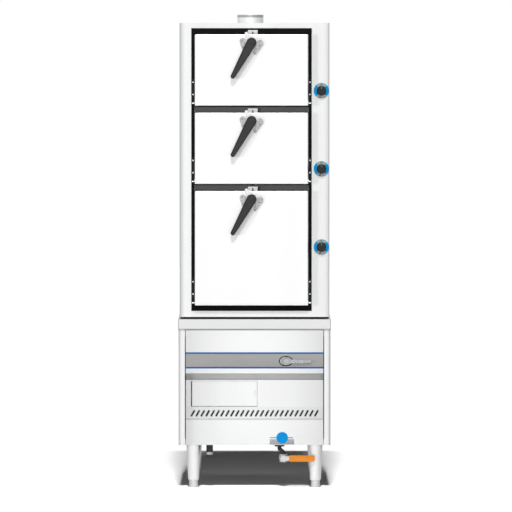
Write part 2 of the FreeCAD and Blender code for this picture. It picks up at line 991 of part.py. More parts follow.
def make_latch_hook(tier):
    """Arm, spindle and the pin with a disc that goes behind the keeper's lip."""
    name = f"latch_{tier}_hook"
    body = new_body(name)
    arm = draw(body, f"{name}_arm", "XZ_Plane")
    belt(arm, ("0", "0"), "spindle * 1.6", ("0", "hook_reach"), "hook_width")
    pad(body, arm, "hook_thickness")
    spindle = draw(body, f"{name}_spindle", "XZ_Plane")
    circle(spindle, "0", "0", "spindle")
    turned = pad(body, spindle, "plate_gap + plate_thickness + skin")
    turned.Reversed = True
    reach = draw(body, f"{name}_rod", "XZ_Plane")
    circle(reach, "0", "hook_reach", "hook_rod")
    disc_back = "(door_rear + plate_gap / 2 + hook_disc_width - hook_back)"
    bridged = pad(body, reach, disc_back)
    bridged.Reversed = True
    disc = draw(body, f"{name}_disc", "XZ_Plane")
    disc.AttachmentOffset = FreeCAD.Placement(FreeCAD.Vector(), FreeCAD.Rotation())
    disc.setExpression("AttachmentOffset.Base.z", "-" + expand(disc_back))
    circle(disc, "0", "hook_reach", "hook_disc")
    body.Tip = pad(body, disc, "hook_disc_width")
    place(
        body,
        "surround_shift",
        "hook_back",
        f"latch_z_{tier}",
        turn=FreeCAD.Rotation(Y_AXIS, -30),
        angle="-latch_tilt",
    )


def make_latch_lever(tier):
    """A tapered moulded lever with a hub that stands off from the hook."""
    name = f"latch_{tier}_lever"
    body = new_body(name)
    side = draw(body, f"{name}_side", "XZ_Plane")
    belt(side, ("0", "0"), "lever_head", ("0", "-lever_reach"), "lever_tip")
    blade = pad(body, side, "lever_thickness")
    doc.recompute()
    edges = []
    for number, edge in enumerate(blade.Shape.Edges, start=1):
        if all(vertex.Point.y < -0.5 * value("lever_thickness") for vertex in edge.Vertexes):
            edges.append(f"Edge{number}")
    soft = body.newObject("PartDesign::Fillet", f"{name}_soft")
    soft.Base = (blade, edges)
    bind(soft, Radius="lever_round")
    hub = draw(body, f"{name}_hub", "XZ_Plane")
    circle(hub, "0", "0", "lever_head * 0.7")
    stand = pad(body, hub, "lever_stand")
    stand.Reversed = True
    body.Tip = stand
    place(
        body,
        "surround_shift",
        "lever_back",
        f"latch_z_{tier}",
        turn=FreeCAD.Rotation(Y_AXIS, 30),
        angle="latch_tilt",
    )


# Steam valves, dials and knobs


def make_dials():
    dials = []
    for tier in TIERS:
        start = ("knob_x", "knob_back", f"knob_z_{tier}")
        disc = rod(f"dial_{tier}_disc", "y", start, "dial_radius", "dial_thickness")
        hole = rod(
            f"dial_{tier}_hole",
            "y",
            ("knob_x", "knob_back - 1", f"knob_z_{tier}"),
            "stem + pipe_play / 2",
            "dial_thickness + 2",
        )
        dials.append(cut(f"dial_{tier}", disc, hole))
    group("knob_dials", *dials)


def make_knob(tier):
    """A faceted knob turned from a profile, with its stem down to the valve."""
    name = f"knob_{tier}"
    body = new_body(name)
    revolve(
        body,
        f"{name}_profile",
        [
            ("0", "pipe_play / 4"),
            ("knob_radius", "pipe_play / 4"),
            ("knob_radius", "knob_height * 0.2"),
            ("knob_radius * 0.94", "knob_height * 0.3"),
            ("knob_radius * 0.88", "knob_height * 0.92"),
            ("knob_radius * 0.78", "knob_height"),
            ("0", "knob_height"),
        ],
    )
    flat = draw(body, f"{name}_flat", "XY_Plane")
    half = "knob_radius * 0.36"
    rectangle(flat, f"-{half}", half, "knob_radius - knob_flat_cut * 2", "knob_radius * 1.3")
    side = pocket(body, flat, "knob_height + 1", reverse=True)
    repeat_round(body, side, flat, "knob_flats")
    stem = draw(body, f"{name}_stem", "XY_Plane")
    circle(stem, "0", "0", "stem")
    shaft = pad(body, stem, "dial_thickness + valve_depth + valve_length / 3")
    shaft.Reversed = True
    body.Tip = shaft
    place(body, "knob_x", "knob_back", f"knob_z_{tier}", turn=FreeCAD.Rotation(X_AXIS, 90))


def make_steam_valves():
    valves = []
    for tier in TIERS:
        name = f"steam_valve_{tier}"
        height = f"knob_z_{tier}"
        barrel = rod(
            f"{name}_barrel",
            "y",
            ("knob_x", "valve_front", height),
            "valve_radius",
            "valve_length",
        )
        neck = rod(
            f"{name}_neck",
            "y",
            ("knob_x", "valve_back - 1", height),
            "branch_radius",
            "pipe_play + 1 + riser_radius * 0.1",
        )
        branch = rod(
            f"{name}_branch",
            "x",
            ("chamber_right", "branch_y", height),
            "branch_radius",
            "knob_x - chamber_right",
        )
        socket = rod(
            f"{name}_socket",
            "y",
            ("knob_x", "valve_front - 1", height),
            "stem + running_fit",
            "valve_length / 2 + 1",
        )
        valves.append(cut(name, fuse(f"{name}_solid", barrel, neck, branch), socket))
    group("steam_valves", *valves)


def make_steam_riser():
    """Steam pipe from the boiler's side up past the three valves."""
    feed_z = "tank_z + tank_height * 0.8"
    top = "knob_z_upper + valve_radius"
    upright = rod(
        "riser_upright",
        "z",
        ("knob_x", "riser_y", feed_z),
        "riser_radius",
        f"{top} - ({feed_z})",
    )
    elbow = ball("riser_elbow", ("knob_x", "riser_y", feed_z), "riser_radius")
    feed = rod(
        "riser_feed",
        "x",
        ("tank_right", "riser_y", feed_z),
        "riser_radius",
        "knob_x - tank_right",
    )
    solid = fuse("riser_solid", upright, elbow, feed)
    necks = [
        rod(
            f"riser_neck_{tier}",
            "y",
            ("knob_x", "valve_back - 1", f"knob_z_{tier}"),
            "branch_radius",
            "pipe_play + 1 + riser_radius * 0.1",
        )
        for tier in TIERS
    ]
    cut("steam_riser", solid, *necks)


def make_flue():
    duct_low = "base_bottom + tank_skirt"
    pipe(
        "flue_duct",
        "z",
        ("flue_shift", "flue_y", duct_low),
        "flue_radius",
        "flue_wall",
        f"body_top + collar_height / 2 - ({duct_low})",
    )
    body = new_body("flue_collar")
    inner = "(flue_radius + running_fit)"
    lip = "(collar_height - collar_rim)"
    revolve(
        body,
        "flue_collar_profile",
        [
            (inner, "0"),
            ("collar_radius + 3", "0"),
            ("collar_radius + 3", "skin"),
            ("collar_radius", "skin"),
            ("collar_radius", f"{lip} - collar_bead"),
            ("collar_radius + collar_bead / 2", lip),
            ("collar_radius + collar_bead / 2", "collar_height - collar_bead"),
            ("collar_radius", "collar_height"),
            (inner, "collar_height"),
        ],
    )
    place(body, "flue_shift", "flue_y", "body_top")


# Counter between base and upper cabinet


def make_counter():
    xs = ("-counter_half", "counter_half")
    ys = ("counter_front", "body_back + skin")
    solid = block("counter_solid", xs, ys, ("base_top", "counter_top"))
    hollow = block(
        "counter_hollow",
        ("skin - counter_half", "counter_half - skin"),
        ("counter_front + skin", "body_back"),
        ("base_top - 1", "counter_top - skin"),
    )
    flue_hole = rod(
        "counter_flue_hole",
        "z",
        ("flue_shift", "flue_y", "base_top"),
        "flue_radius + pipe_play",
        "counter_height + 1",
    )
    riser_hole = rod(
        "counter_riser_hole",
        "z",
        ("knob_x", "riser_y", "base_top"),
        "riser_radius + pipe_play / 2",
        "counter_height + 1",
    )
    edge = round_edges("counter_edge", solid, 3.0, upright_at_front)
    cut("counter_top", edge, hollow, flue_hole, riser_hole)
    ring = block(
        "seat_ring_outer",
        ("seat_inset - body_half", "body_half - seat_inset"),
        ("body_front + seat_inset", "body_back - seat_inset"),
        ("counter_top", "body_bottom"),
    )
    middle = block(
        "seat_ring_inner",
        ("seat_inset + seat_ring - body_half", "body_half - seat_inset - seat_ring"),
        ("body_front + seat_inset + seat_ring", "body_back - seat_inset - seat_ring"),
        ("counter_top - 1", "body_bottom + 1"),
    )
    cut("seat_gasket", ring, middle)


# Boiler base


def make_base_frame():
    front = "fascia_face + skin"
    bars = []
    sides = (
        ("left", "-base_half", "post - base_half"),
        ("right", "base_half - post", "base_half"),
    )
    levels = (
        ("low", ("base_bottom + skin", "base_bottom + post")),
        ("high", ("base_top - post", "base_top")),
    )
    for side, near, far in sides:
        bars.append(
            block(
                f"frame_post_front_{side}",
                (near, far),
                (front, f"{front} + post"),
                ("base_bottom", "base_top"),
            )
        )
        inset = "skin" if side == "left" else "-skin"
        xs = (f"{near} + {inset}", f"{far} + {inset}")
        rear = ("body_back - skin - post", "body_back - skin")
        bars.append(block(f"frame_post_back_{side}", xs, rear, ("base_bottom + skin", "base_top")))
        for level, zs in levels:
            bars.append(
                block(
                    f"frame_rail_{side}_{level}",
                    xs,
                    (f"{front} + post / 2", "body_back - skin - post / 2"),
                    zs,
                )
            )
    for end, ys in (
        ("front", ("lower_face + skin + panel_play", "lower_face + skin + panel_play + post / 2")),
        ("back", ("body_back - skin - post", "body_back - skin")),
    ):
        bars.append(block(
            f"frame_cross_{end}",
            ("post / 2 - base_half", "base_half - post / 2"),
            ys,
            ("base_top - post", "base_top"),
        ))
    fuse("base_frame", *bars)


def make_base_shell():
    front = "fascia_face + skin + post"
    outer = block(
        "wrap_outer",
        ("-base_half", "base_half"),
        (front, "body_back"),
        ("base_bottom", "base_top"),
    )
    inner = block(
        "wrap_inner",
        ("skin - base_half", "base_half - skin"),
        (f"{front} - 1", "body_back - skin"),
        ("base_bottom - 1", "base_top + 1"),
    )
    cut("base_shell", outer, inner)


def make_base_floor():
    plate = block(
        "floor_plate",
        ("skin - base_half", "base_half - skin"),
        ("lower_face + skin", "body_back - skin"),
        ("base_bottom", "base_bottom + skin"),
    )
    post_notches = [
        block(
            f"floor_notch_{side}",
            xs,
            ("fascia_face - 1", "fascia_face + skin + post"),
            ("base_bottom - 1", "base_bottom + skin + 1"),
        )
        for side, xs in (
            ("left", ("-base_half - 1", "post - base_half")),
            ("right", ("base_half - post", "base_half + 1")),
        )
    ]
    holes = []
    for name, x, y, radius in (
        ("drain", "drain_shift", "drain_y", "drain_pipe + pipe_play"),
        ("inlet", "inlet_shift", "inlet_y", "gas_line + pipe_play"),
    ):
        holes.append(rod(f"floor_hole_{name}", "z", (x, y, "base_bottom - 1"), radius, "skin + 2"))
    vent = rod(
        "floor_vent",
        "z",
        ("tank_x", "burner_y", "base_bottom - 1"),
        "burner_radius * 0.6",
        "skin + 2",
    )
    cut("base_floor", plate, vent, *post_notches, *holes)


def gas_hole(name, start, depth, margin):
    """An oval hole through the fascia for the gas lever's hub."""
    half = f"(gas_hole_width - gas_hole_height) / 2"
    radius = f"gas_hole_height / 2 + {margin}"
    left = rod(f"{name}_left", "y", (f"gas_shift - {half}", start, "gas_z"), radius, depth)
    right = rod(f"{name}_right", "y", (f"gas_shift + {half}", start, "gas_z"), radius, depth)
    middle = block(
        f"{name}_middle",
        (f"gas_shift - {half}", f"gas_shift + {half}"),
        (start, f"{start} + {depth}"),
        (f"gas_z - ({radius})", f"gas_z + ({radius})"),
    )
    return fuse(name, left, right, middle)


def make_fascia():
    xs = ("-panel_half", "panel_half")
    front = block(
        "fascia_front",
        xs,
        ("fascia_face", "fascia_face + skin"),
        ("fascia_bottom", "base_top - skin"),
    )
    slope = doc.addObject("Part::Wedge", "fascia_return")
    bind(
        slope,
        Xmin="-panel_half",
        Xmax="panel_half",
        X2min="-panel_half",
        X2max="panel_half",
        Ymin="fascia_face",
        Ymax="lower_face + skin",
        Zmin="fascia_bottom",
        Zmax="fascia_bottom + skin",
        Z2min="lower_top",
        Z2max="lower_top + skin",
    )
    solid = fuse("fascia_solid", front, slope)
    cut("fascia", solid, gas_hole("fascia_hole", "fascia_face - 1", "skin + 2", "0"))
    strip = block(
        "strip_plate",
        xs,
        ("fascia_face - strip_sheet", "fascia_face"),
        ("strip_low", "strip_high"),
    )
    cut(
        "control_strip",
        strip,
        gas_hole("strip_hole", "fascia_face - strip_sheet - 1", "strip_sheet + 2", "1"),
    )


def make_front_panel():
    """Lower front with the hatch opening, its hinge lugs and a row of leaning slots."""
    body = new_body("front_panel")
    plate = draw(body, "front_panel_plate", "XZ_Plane")
    rectangle(plate, "-panel_half", "panel_half", "kick_top", "lower_top")
    pad(body, plate, "skin")
    opening = draw(body, "front_panel_opening", "XZ_Plane")
    rectangle(opening, "-hatch_left", "hatch_right", "hatch_low", "hatch_high")
    pocket(body, opening, "2 * skin + 2").Midplane = True
    slot = draw(body, "front_panel_slot", "XZ_Plane")
    run = "(vent_length - vent_width) / 2"
    belt(
        slot,
        (f"vent_first - {run} * sin(vent_lean)", f"vent_z - {run} * cos(vent_lean)"),
        "vent_width / 2",
        (f"vent_first + {run} * sin(vent_lean)", f"vent_z + {run} * cos(vent_lean)"),
        "vent_width / 2",
    )
    opened = pocket(body, slot, "2 * skin + 2")
    opened.Midplane = True
    repeat_along(body, opened, slot, "vent_pitch", "vent_count")
    place(body, "0", "lower_face + skin", "0")
    lugs = []
    for end, zs in (
        ("low", ("hatch_low - hatch_lug", "hatch_low")),
        ("high", ("hatch_high", "hatch_high + hatch_lug")),
    ):
        lugs.append(
            block(
                f"hatch_lug_{end}",
                ("hatch_axis_x - hatch_knuckle", "hatch_axis_x + hatch_knuckle"),
                ("hatch_axis_y - hatch_knuckle", "lower_face + skin / 2"),
                zs,
            )
        )
        start = "hatch_low - hatch_lug / 2" if end == "low" else "hatch_high - 8"
        length = "8 + hatch_lug / 2"
        lugs.append(rod(
            f"hatch_pin_{end}",
            "z",
            ("hatch_axis_x", "hatch_axis_y", start),
            "hatch_knuckle / 2",
            length,
        ))
    fuse("hatch_frame", body, *lugs)


def make_hatch_door():
    left = "hatch_axis_x"
    right = "hatch_right - hatch_gap"
    low = "hatch_low + hatch_gap"
    high = "hatch_high - hatch_gap"
    leaf = block("hatch_leaf", (left, right), ("lower_face", "lower_face + skin"), (low, high))
    knuckle = rod(
        "hatch_knuckle_rod",
        "z",
        ("hatch_axis_x", "hatch_axis_y", low),
        "hatch_knuckle",
        f"({high}) - ({low})",
    )
    notch = block(
        "hatch_notch_cut",
        (f"{right} - hatch_notch * 0.8", f"{right} + 1"),
        ("lower_face - 1", "lower_face + skin + 1"),
        (f"({low} + {high}) / 2 - hatch_notch", f"({low} + {high}) / 2 + hatch_notch"),
    )
    bore = rod(
        "hatch_bore",
        "z",
        ("hatch_axis_x", "hatch_axis_y", f"{low} - 1"),
        "hatch_knuckle / 2 + running_fit",
        f"({high}) - ({low}) + 2",
    )
    cut("hatch_door", fuse("hatch_solid", leaf, knuckle), notch, bore)


def make_kick_panel():
    block(
        "kick_panel",
        ("-panel_half", "panel_half"),
        ("lower_face", "lower_face + skin"),
        ("base_bottom", "kick_top - 1"),
    )


def make_gas_valve():
    """Valve barrel behind the fascia with its line across to the inlet's elbow."""
    start = "fascia_face + skin + gas_lever_thickness"
    barrel = rod("gas_barrel", "y", ("gas_shift", start, "gas_z"), "gas_body", "gas_body_length")
    corner_at = ("inlet_shift", "inlet_y", "gas_z")
    line = rod("gas_line_across", "x", corner_at, "gas_line", "gas_shift - inlet_shift")
    corner = ball("gas_line_corner", corner_at, "gas_line + 3")
    seat = rod(
        "gas_line_seat",
        "z",
        ("inlet_shift", "inlet_y", "gas_z - gas_line * 2"),
        "gas_line + running_fit",
        "gas_line * 1.5",
    )
    socket = rod(
        "gas_socket",
        "y",
        ("gas_shift", f"{start} - 1", "gas_z"),
        "stem * 1.5 + running_fit",
        "gas_body_length / 2 + 1",
    )
    cut("gas_valve", fuse("gas_solid", barrel, line, corner), seat, socket)


def make_gas_lever():
    """Hub in the oval hole with a thin tapered lever, and a stem into the valve."""
    hub_back = "fascia_face + skin + gas_lever_thickness - pipe_play / 2"
    hub_front = f"{hub_back} - gas_hub_height"
    body = new_body("gas_blade")
    side = draw(body, "gas_blade_side", "XZ_Plane")
    belt(side, ("0", "0"), "gas_lever_root", ("gas_lever_reach", "0"), "gas_lever_tip")
    pad(body, side, "gas_lever_thickness")
    place(body, "gas_shift", f"{hub_front} + gas_lever_thickness", "gas_z")
    hub = rod("gas_hub_rod", "y", ("gas_shift", hub_front, "gas_z"), "gas_hub", "gas_hub_height")
    stem = rod(
        "gas_stem",
        "y",
        ("gas_shift", f"{hub_back} - 1", "gas_z"),
        "stem * 1.5",
        "gas_body_length / 3",
    )
    fuse("gas_lever", body, hub, stem)


def make_boiler():
    back = "tank_y + tank_depth"
    xs = ("tank_left", "tank_right")
    solid = block("tank_solid", xs, ("tank_y", back), ("tank_z - tank_skirt", "tank_z + tank_height"))
    water = block(
        "tank_water",
        ("tank_left + tank_sheet", "tank_right - tank_sheet"),
        ("tank_y + tank_sheet", f"{back} - tank_sheet"),
        ("tank_z", "tank_z + tank_height - tank_sheet"),
    )
    fire = block(
        "tank_fire",
        ("tank_left + tank_sheet", "tank_right - tank_sheet"),
        ("tank_y + tank_sheet", f"{back} - tank_sheet"),
        ("tank_z - tank_skirt - 1", "tank_z - tank_sheet"),
    )
    outlet = rod(
        "tank_outlet",
        "x",
        ("tank_right - tank_sheet - 1", "riser_y", "tank_z + tank_height * 0.8"),
        "riser_radius - flue_wall",
        "tank_sheet + 2",
    )
    flue_gap = block(
        "tank_flue_gap",
        ("flue_shift - skirt_notch / 2", "flue_shift + skirt_notch / 2"),
        (f"{back} - tank_sheet - 1", f"{back} + 1"),
        ("tank_z - tank_skirt * 0.75", "tank_z - tank_sheet * 2"),
    )
    air_gap = block(
        "tank_air_gap",
        ("tank_left - 1", "tank_left + tank_sheet + 1"),
        ("blower_y - blower_length / 2 - 2", "blower_y + blower_length / 2 + 2"),
        ("tank_z - tank_skirt - 1", "tank_z - tank_skirt * 0.5"),
    )
    cut("water_tank", solid, water, fire, outlet, flue_gap, air_gap)


def make_burner():
    body = new_body("burner")
    revolve(
        body,
        "burner_profile",
        [
            ("burner_radius * 0.3", "0"),
            ("burner_radius * 0.85", "0"),
            ("burner_radius", "burner_height * 0.4"),
            ("burner_radius", "burner_height * 0.75"),
            ("burner_radius * 0.9", "burner_height"),
            ("burner_radius * 0.3", "burner_height"),
        ],
    )
    port = draw(body, "burner_port_sketch", "XY_Plane")
    circle(port, "burner_radius * 0.7", "0", "burner_port")
    opened = pocket(body, port, "burner_height + 1", reverse=True)
    repeat_round(body, opened, port, "burner_ports")
    place(body, "tank_x", "burner_y", "burner_z")


def make_blower():
    start = ("blower_left", "blower_y", "blower_z")
    drum = rod("blower_drum", "x", start, "blower_radius", "blower_length")
    mouth = block(
        "blower_mouth",
        ("blower_left + blower_length / 2", "tank_left + tank_sheet"),
        ("blower_y - blower_length / 2", "blower_y + blower_length / 2"),
        ("blower_z - blower_radius", "blower_z - blower_radius + blower_length * 0.7"),
    )
    hollow = rod(
        "blower_hollow",
        "x",
        ("blower_left + blower_wall", "blower_y", "blower_z"),
        "blower_radius - blower_wall",
        "blower_length - 2 * blower_wall",
    )
    throat = block(
        "blower_throat",
        ("blower_left + blower_length / 2", "tank_left + tank_sheet + 1"),
        ("blower_y - blower_length / 2 + blower_wall", "blower_y + blower_length / 2 - blower_wall"),
        (
            "blower_z - blower_radius + blower_wall",
            "blower_z - blower_radius + blower_length * 0.7 - blower_wall",
        ),
    )
    inlet = rod(
        "blower_inlet_hole",
        "x",
        ("blower_left - 1", "blower_y", "blower_z"),
        "blower_inlet",
        "blower_wall + 2",
    )
    bearing = rod(
        "blower_bearing",
        "x",
        ("blower_left + blower_length - blower_wall - 1", "blower_y", "blower_z"),
        "axle + running_fit",
        "blower_wall + 2",
    )
    cut("blower_housing", fuse("blower_solid", drum, mouth), hollow, throat, inlet, bearing)
    body = new_body("blower_wheel")
    disc = draw(body, "wheel_disc", "YZ_Plane")
    circle(disc, "0", "0", "wheel_radius")
    pad(body, disc, "blower_wall")
    blade = draw(body, "wheel_blade", "YZ_Plane")
    rectangle(blade, "wheel_radius * 0.78", "wheel_radius * 0.99", "-blower_wall / 2", "blower_wall / 2")
    vane = pad(body, blade, "wheel_length")
    vane.Reversed = True
    repeat_round(body, vane, blade, "wheel_blades")
    shaft = draw(body, "wheel_shaft", "YZ_Plane")
    circle(shaft, "0", "0", "axle")
    body.Tip = pad(body, shaft, "blower_wall * 5 + 4")
    place(body, "blower_left + blower_length - blower_wall * 4 - 2", "blower_y", "blower_z")


def make_float():
    right = "float_box_left + float_box_width"
    back = "float_y + float_box_depth"
    outer = block(
        "float_box_outer",
        ("float_box_left", right),
        ("float_y", back),
        ("float_z", "float_z + float_box_height"),
    )
    inner = block(
        "float_box_inner",
        ("float_box_left + float_box_sheet", f"{right} - float_box_sheet"),
        ("float_y + float_box_sheet", f"{back} - float_box_sheet"),
        ("float_z + float_box_sheet", "float_z + float_box_height + 1"),
    )
    pivot = rod(
        "float_pivot",
        "y",
        ("float_axis_x", "float_y", "float_axis_z"),
        "float_rod",
        "float_box_depth",
    )
    fuse("float_box", cut("float_box_shell", outer, inner), pivot)
    middle_y = "float_y + float_box_depth / 2"
    hub = rod(
        "float_hub",
        "y",
        ("float_axis_x", f"{middle_y} - 6", "float_axis_z"),
        "float_rod * 2.4",
        "12",
    )
    arm = rod(
        "float_arm_rod",
        "x",
        ("float_axis_x", middle_y, "float_axis_z"),
        "float_rod",
        "float_arm",
    )
    bulb = ball("float_bulb", ("float_axis_x + float_arm", middle_y, "float_axis_z"), "float_ball")
    bore = rod(
        "float_bore",
        "y",
        ("float_axis_x", f"{middle_y} - 7", "float_axis_z"),
        "float_rod + running_fit",
        "14",
    )
    cut("float_arm", fuse("float_solid", hub, arm, bulb), bore)


# Fittings below the base


def make_gas_inlet():
    nut_low = "base_bottom - inlet_nut_height"
    nut = rod(
        "inlet_nut_rod",
        "z",
        ("inlet_shift", "inlet_y", nut_low),
        "inlet_nut",
        "inlet_nut_height",
    )
    ring = rod(
        "inlet_ring_rod",
        "z",
        ("inlet_shift", "inlet_y", f"{nut_low} - inlet_ring_height"),
        "inlet_ring",
        "inlet_ring_height",
    )
    line = rod(
        "inlet_line",
        "z",
        ("inlet_shift", "inlet_y", "base_bottom - 1"),
        "gas_line",
        "gas_z - gas_line / 2 - base_bottom + 1",
    )
    bore = rod(
        "inlet_bore_rod",
        "z",
        ("inlet_shift", "inlet_y", f"{nut_low} - inlet_ring_height - 1"),
        "inlet_bore",
        "inlet_nut_height + inlet_ring_height",
    )
    cut("gas_inlet", fuse("inlet_solid", nut, ring, line), bore)


def make_drain():
    start = ("drain_shift", "drain_y", "drain_pipe_end")
    rise = "tank_z - base_bottom + drain_drop + 12"
    upright = rod("drain_upright", "z", start, "drain_pipe", rise)
    knee = ball("drain_knee", ("drain_shift", "drain_y", "tank_z + 12"), "drain_pipe")
    back = rod(
        "drain_back",
        "y",
        ("drain_shift", "drain_y", "tank_z + 12"),
        "drain_pipe",
        "tank_y - drain_y",
    )
    flange = rod(
        "drain_flange_disc",
        "z",
        ("drain_shift", "drain_y", "base_bottom - drain_flange_height"),
        "drain_flange",
        "drain_flange_height",
    )
    low_knee = ball("drain_low_knee", start, "drain_pipe")
    lean = doc.addObject("Part::Cylinder", "drain_lean_rod")
    bind(lean, Radius="drain_pipe", Height="sqrt(drain_lean ^ 2 + drain_elbow_drop ^ 2)")
    place(
        lean,
        *start,
        turn=FreeCAD.Rotation(Y_AXIS, 120),
        angle="180 deg - atan(drain_lean / drain_elbow_drop)",
    )
    end_knee = ball("drain_end_knee", ("valve_x", "drain_y", "drain_knee_z"), "drain_pipe")
    tail = rod(
        "drain_tail",
        "z",
        ("valve_x", "drain_y", "drain_valve_top - 5"),
        "drain_pipe",
        "drain_pipe + 5",
    )
    fuse("drain_pipe_line", upright, knee, back, flange, low_knee, lean, end_knee, tail)


def make_drain_valve():
    low = "drain_valve_top - drain_valve_height"
    body = rod(
        "valve_body_rod",
        "z",
        ("valve_x", "drain_y", low),
        "drain_valve * 0.86",
        "drain_valve_height",
    )
    waist = ball("valve_body_ball", ("valve_x", "drain_y", "drain_valve_z"), "drain_valve")
    socket = rod(
        "valve_top_socket",
        "z",
        ("valve_x", "drain_y", "drain_valve_top - 6"),
        "drain_pipe + running_fit",
        "12",
    )
    bore = rod(
        "valve_bore",
        "z",
        ("valve_x", "drain_y", f"{low} - 1"),
        "drain_bore",
        "drain_valve_height",
    )
    bonnet = rod(
        "valve_bonnet",
        "y",
        ("valve_x", "drain_y - drain_valve - drain_stem_length * 0.4", "drain_valve_z"),
        "drain_valve * 0.5",
        "drain_valve",
    )
    stem_hole = rod(
        "valve_stem_hole",
        "y",
        ("valve_x", "drain_y - drain_valve * 2", "drain_valve_z"),
        "drain_stem + running_fit",
        "drain_valve * 1.6",
    )
    cut("drain_valve_body", fuse("valve_solid", body, waist, bonnet), socket, bore, stem_hole)


def make_drain_lever():
    """A flat handle in a plastic sleeve, on the stem that faces the front."""
    back = "drain_lever_back"
    front = f"{back} - drain_lever_thickness"
    start_x = "valve_x + drain_lever_reach - drain_lever_sleeve"
    stem = rod(
        "lever_stem",
        "y",
        ("valve_x", f"{front} + 2", "drain_valve_z"),
        "drain_stem",
        "drain_stem_length + drain_valve / 2 + drain_lever_thickness - 2",
    )
    washer = rod(
        "lever_hub",
        "y",
        ("valve_x", f"{front} + 2", "drain_valve_z"),
        "drain_stem * 2.4",
        "4",
    )
    plate = block(
        "lever_plate",
        ("valve_x", f"{start_x} + 10"),
        (f"{front} + 2", f"{front} + 6"),
        ("drain_valve_z - drain_stem * 1.8", "drain_valve_z + drain_stem * 1.8"),
    )
    fuse("drain_lever", stem, washer, plate)
    sleeve = block(
        "sleeve_block",
        (start_x, "valve_x + drain_lever_reach"),
        (front, back),
        ("drain_valve_z - drain_lever_width / 2", "drain_valve_z + drain_lever_width / 2"),
    )
    slot = block(
        "sleeve_slot",
        (f"{start_x} - 1", f"{start_x} + 10"),
        (f"{front} + 2", f"{front} + 6"),
        ("drain_valve_z - drain_stem * 1.8", "drain_valve_z + drain_stem * 1.8"),
    )
    softened = round_edges("sleeve_soft", sleeve, 3.0, lambda first, last: abs(first.x - last.x) > 20)
    cut("drain_lever_sleeve", softened, slot)


# Legs and feet


def each_leg():
    for end, y in (("front", "leg_y_front"), ("back", "leg_y_back")):
        for side, x in (("left", "-leg_x"), ("right", "leg_x")):
            yield f"{end}_{side}", x, y


def make_legs():
    legs = []
    feet = []
    tube_low = "foot_height + leg_chamfer"
    for name, x, y in each_leg():
        tube = cone(
            f"leg_{name}_tube",
            (x, y, tube_low),
            "leg_bottom",
            "leg_top",
            f"leg_height - ({tube_low})",
        )
        bevel = cone(
            f"leg_{name}_bevel",
            (x, y, "foot_height"),
            "leg_bottom - leg_chamfer",
            "leg_bottom",
            "leg_chamfer",
        )
        hole = rod(
            f"leg_{name}_hole",
            "z",
            (x, y, "foot_height - 1"),
            "foot_stem + running_fit",
            "foot_stem_length + 1",
        )
        legs.append(cut(f"leg_{name}", fuse(f"leg_{name}_solid", tube, bevel), hole))
        half = "(foot_height - foot_groove) / 2"
        low = rod(f"foot_{name}_low", "z", (x, y, "0"), "foot_radius", half)
        neck = rod(f"foot_{name}_neck", "z", (x, y, half), "foot_radius - foot_groove", "foot_groove")
        high = rod(f"foot_{name}_high", "z", (x, y, f"{half} + foot_groove"), "foot_radius", half)
        stem = rod(f"foot_{name}_stem", "z", (x, y, "foot_height - 1"), "foot_stem", "foot_stem_length")
        feet.append(fuse(f"foot_{name}", low, neck, high, stem))
    group("legs", *legs)
    group("levelling_feet", *feet)


for tier in TIERS:
    FORMULAS[f"chamber_low_{tier}"] = f"door_bottom_{tier} + seal_lap"
    FORMULAS[f"chamber_high_{tier}"] = f"door_top_{tier} - seal_lap"
    FORMULAS[f"latch_z_{tier}"] = f"door_top_{tier} - latch_drop"
    FORMULAS[f"knob_z_{tier}"] = f"door_top_{tier} - knob_drop"

make_outer_shell()
make_rear_cover()
make_insulation()
make_racks()
make_surround()
make_hinges()
make_keepers()
make_dials()
make_steam_valves()
make_steam_riser()
make_flue()
for tier in TIERS:
    make_chamber(tier)
    make_door_outer(tier)
    make_door_inner(tier)
    make_latch_plate(tier)
    make_latch_hook(tier)
    make_latch_lever(tier)
    make_knob(tier)
make_counter()
make_base_frame()
make_base_shell()
make_base_floor()
make_fascia()
make_front_panel()
make_hatch_door()
make_kick_panel()
make_gas_valve()
make_gas_lever()
make_boiler()
make_burner()
make_blower()
make_float()
make_gas_inlet()
make_drain()
make_drain_valve()
make_drain_lever()
make_legs()

NODES = [
    "outer_shell", "rear_cover", "insulation", "door_surround",
    "steam_racks",
    "hinge_brackets", "hinge_pins", "hinge_screws", "latch_keepers",
    "knob_dials", "steam_valves", "steam_riser", "flue_duct", "flue_collar",
    "counter_top", "seat_gasket",
    "base_frame", "base_shell", "base_floor", "fascia", "control_strip",
    "hatch_frame", "hatch_door", "kick_panel",
    "gas_valve", "gas_lever", "water_tank", "burner", "blower_housing", "blower_wheel",
    "float_box", "float_arm", "gas_inlet",
    "drain_pipe_line", "drain_valve_body", "drain_lever", "drain_lever_sleeve",
    "legs", "levelling_feet",
]
for tier in TIERS:
    NODES += [f"chamber_{tier}_liner", f"door_{tier}_outer", f"door_{tier}_inner"]
    NODES += [f"latch_{tier}_plate", f"latch_{tier}_hook", f"latch_{tier}_lever", f"knob_{tier}"]

doc.recompute()
faults = [item.Name for item in doc.Objects if {"Invalid", "Error"} & set(item.State)]
if faults:
    raise RuntimeError("objects that failed: " + ", ".join(faults))

os.makedirs("parts", exist_ok=True)
for name in NODES:
    piece = doc.getObject(name)
    piece.Label = name
    if piece.Shape.isNull() or not piece.Shape.isValid():
        raise RuntimeError("no sound shape: " + name)
    piece.Shape.exportStep(f"parts/{name}.step")
print(len(NODES), "nodes written")
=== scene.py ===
import json
import math

import bmesh
import bpy
from mathutils import Matrix, Vector


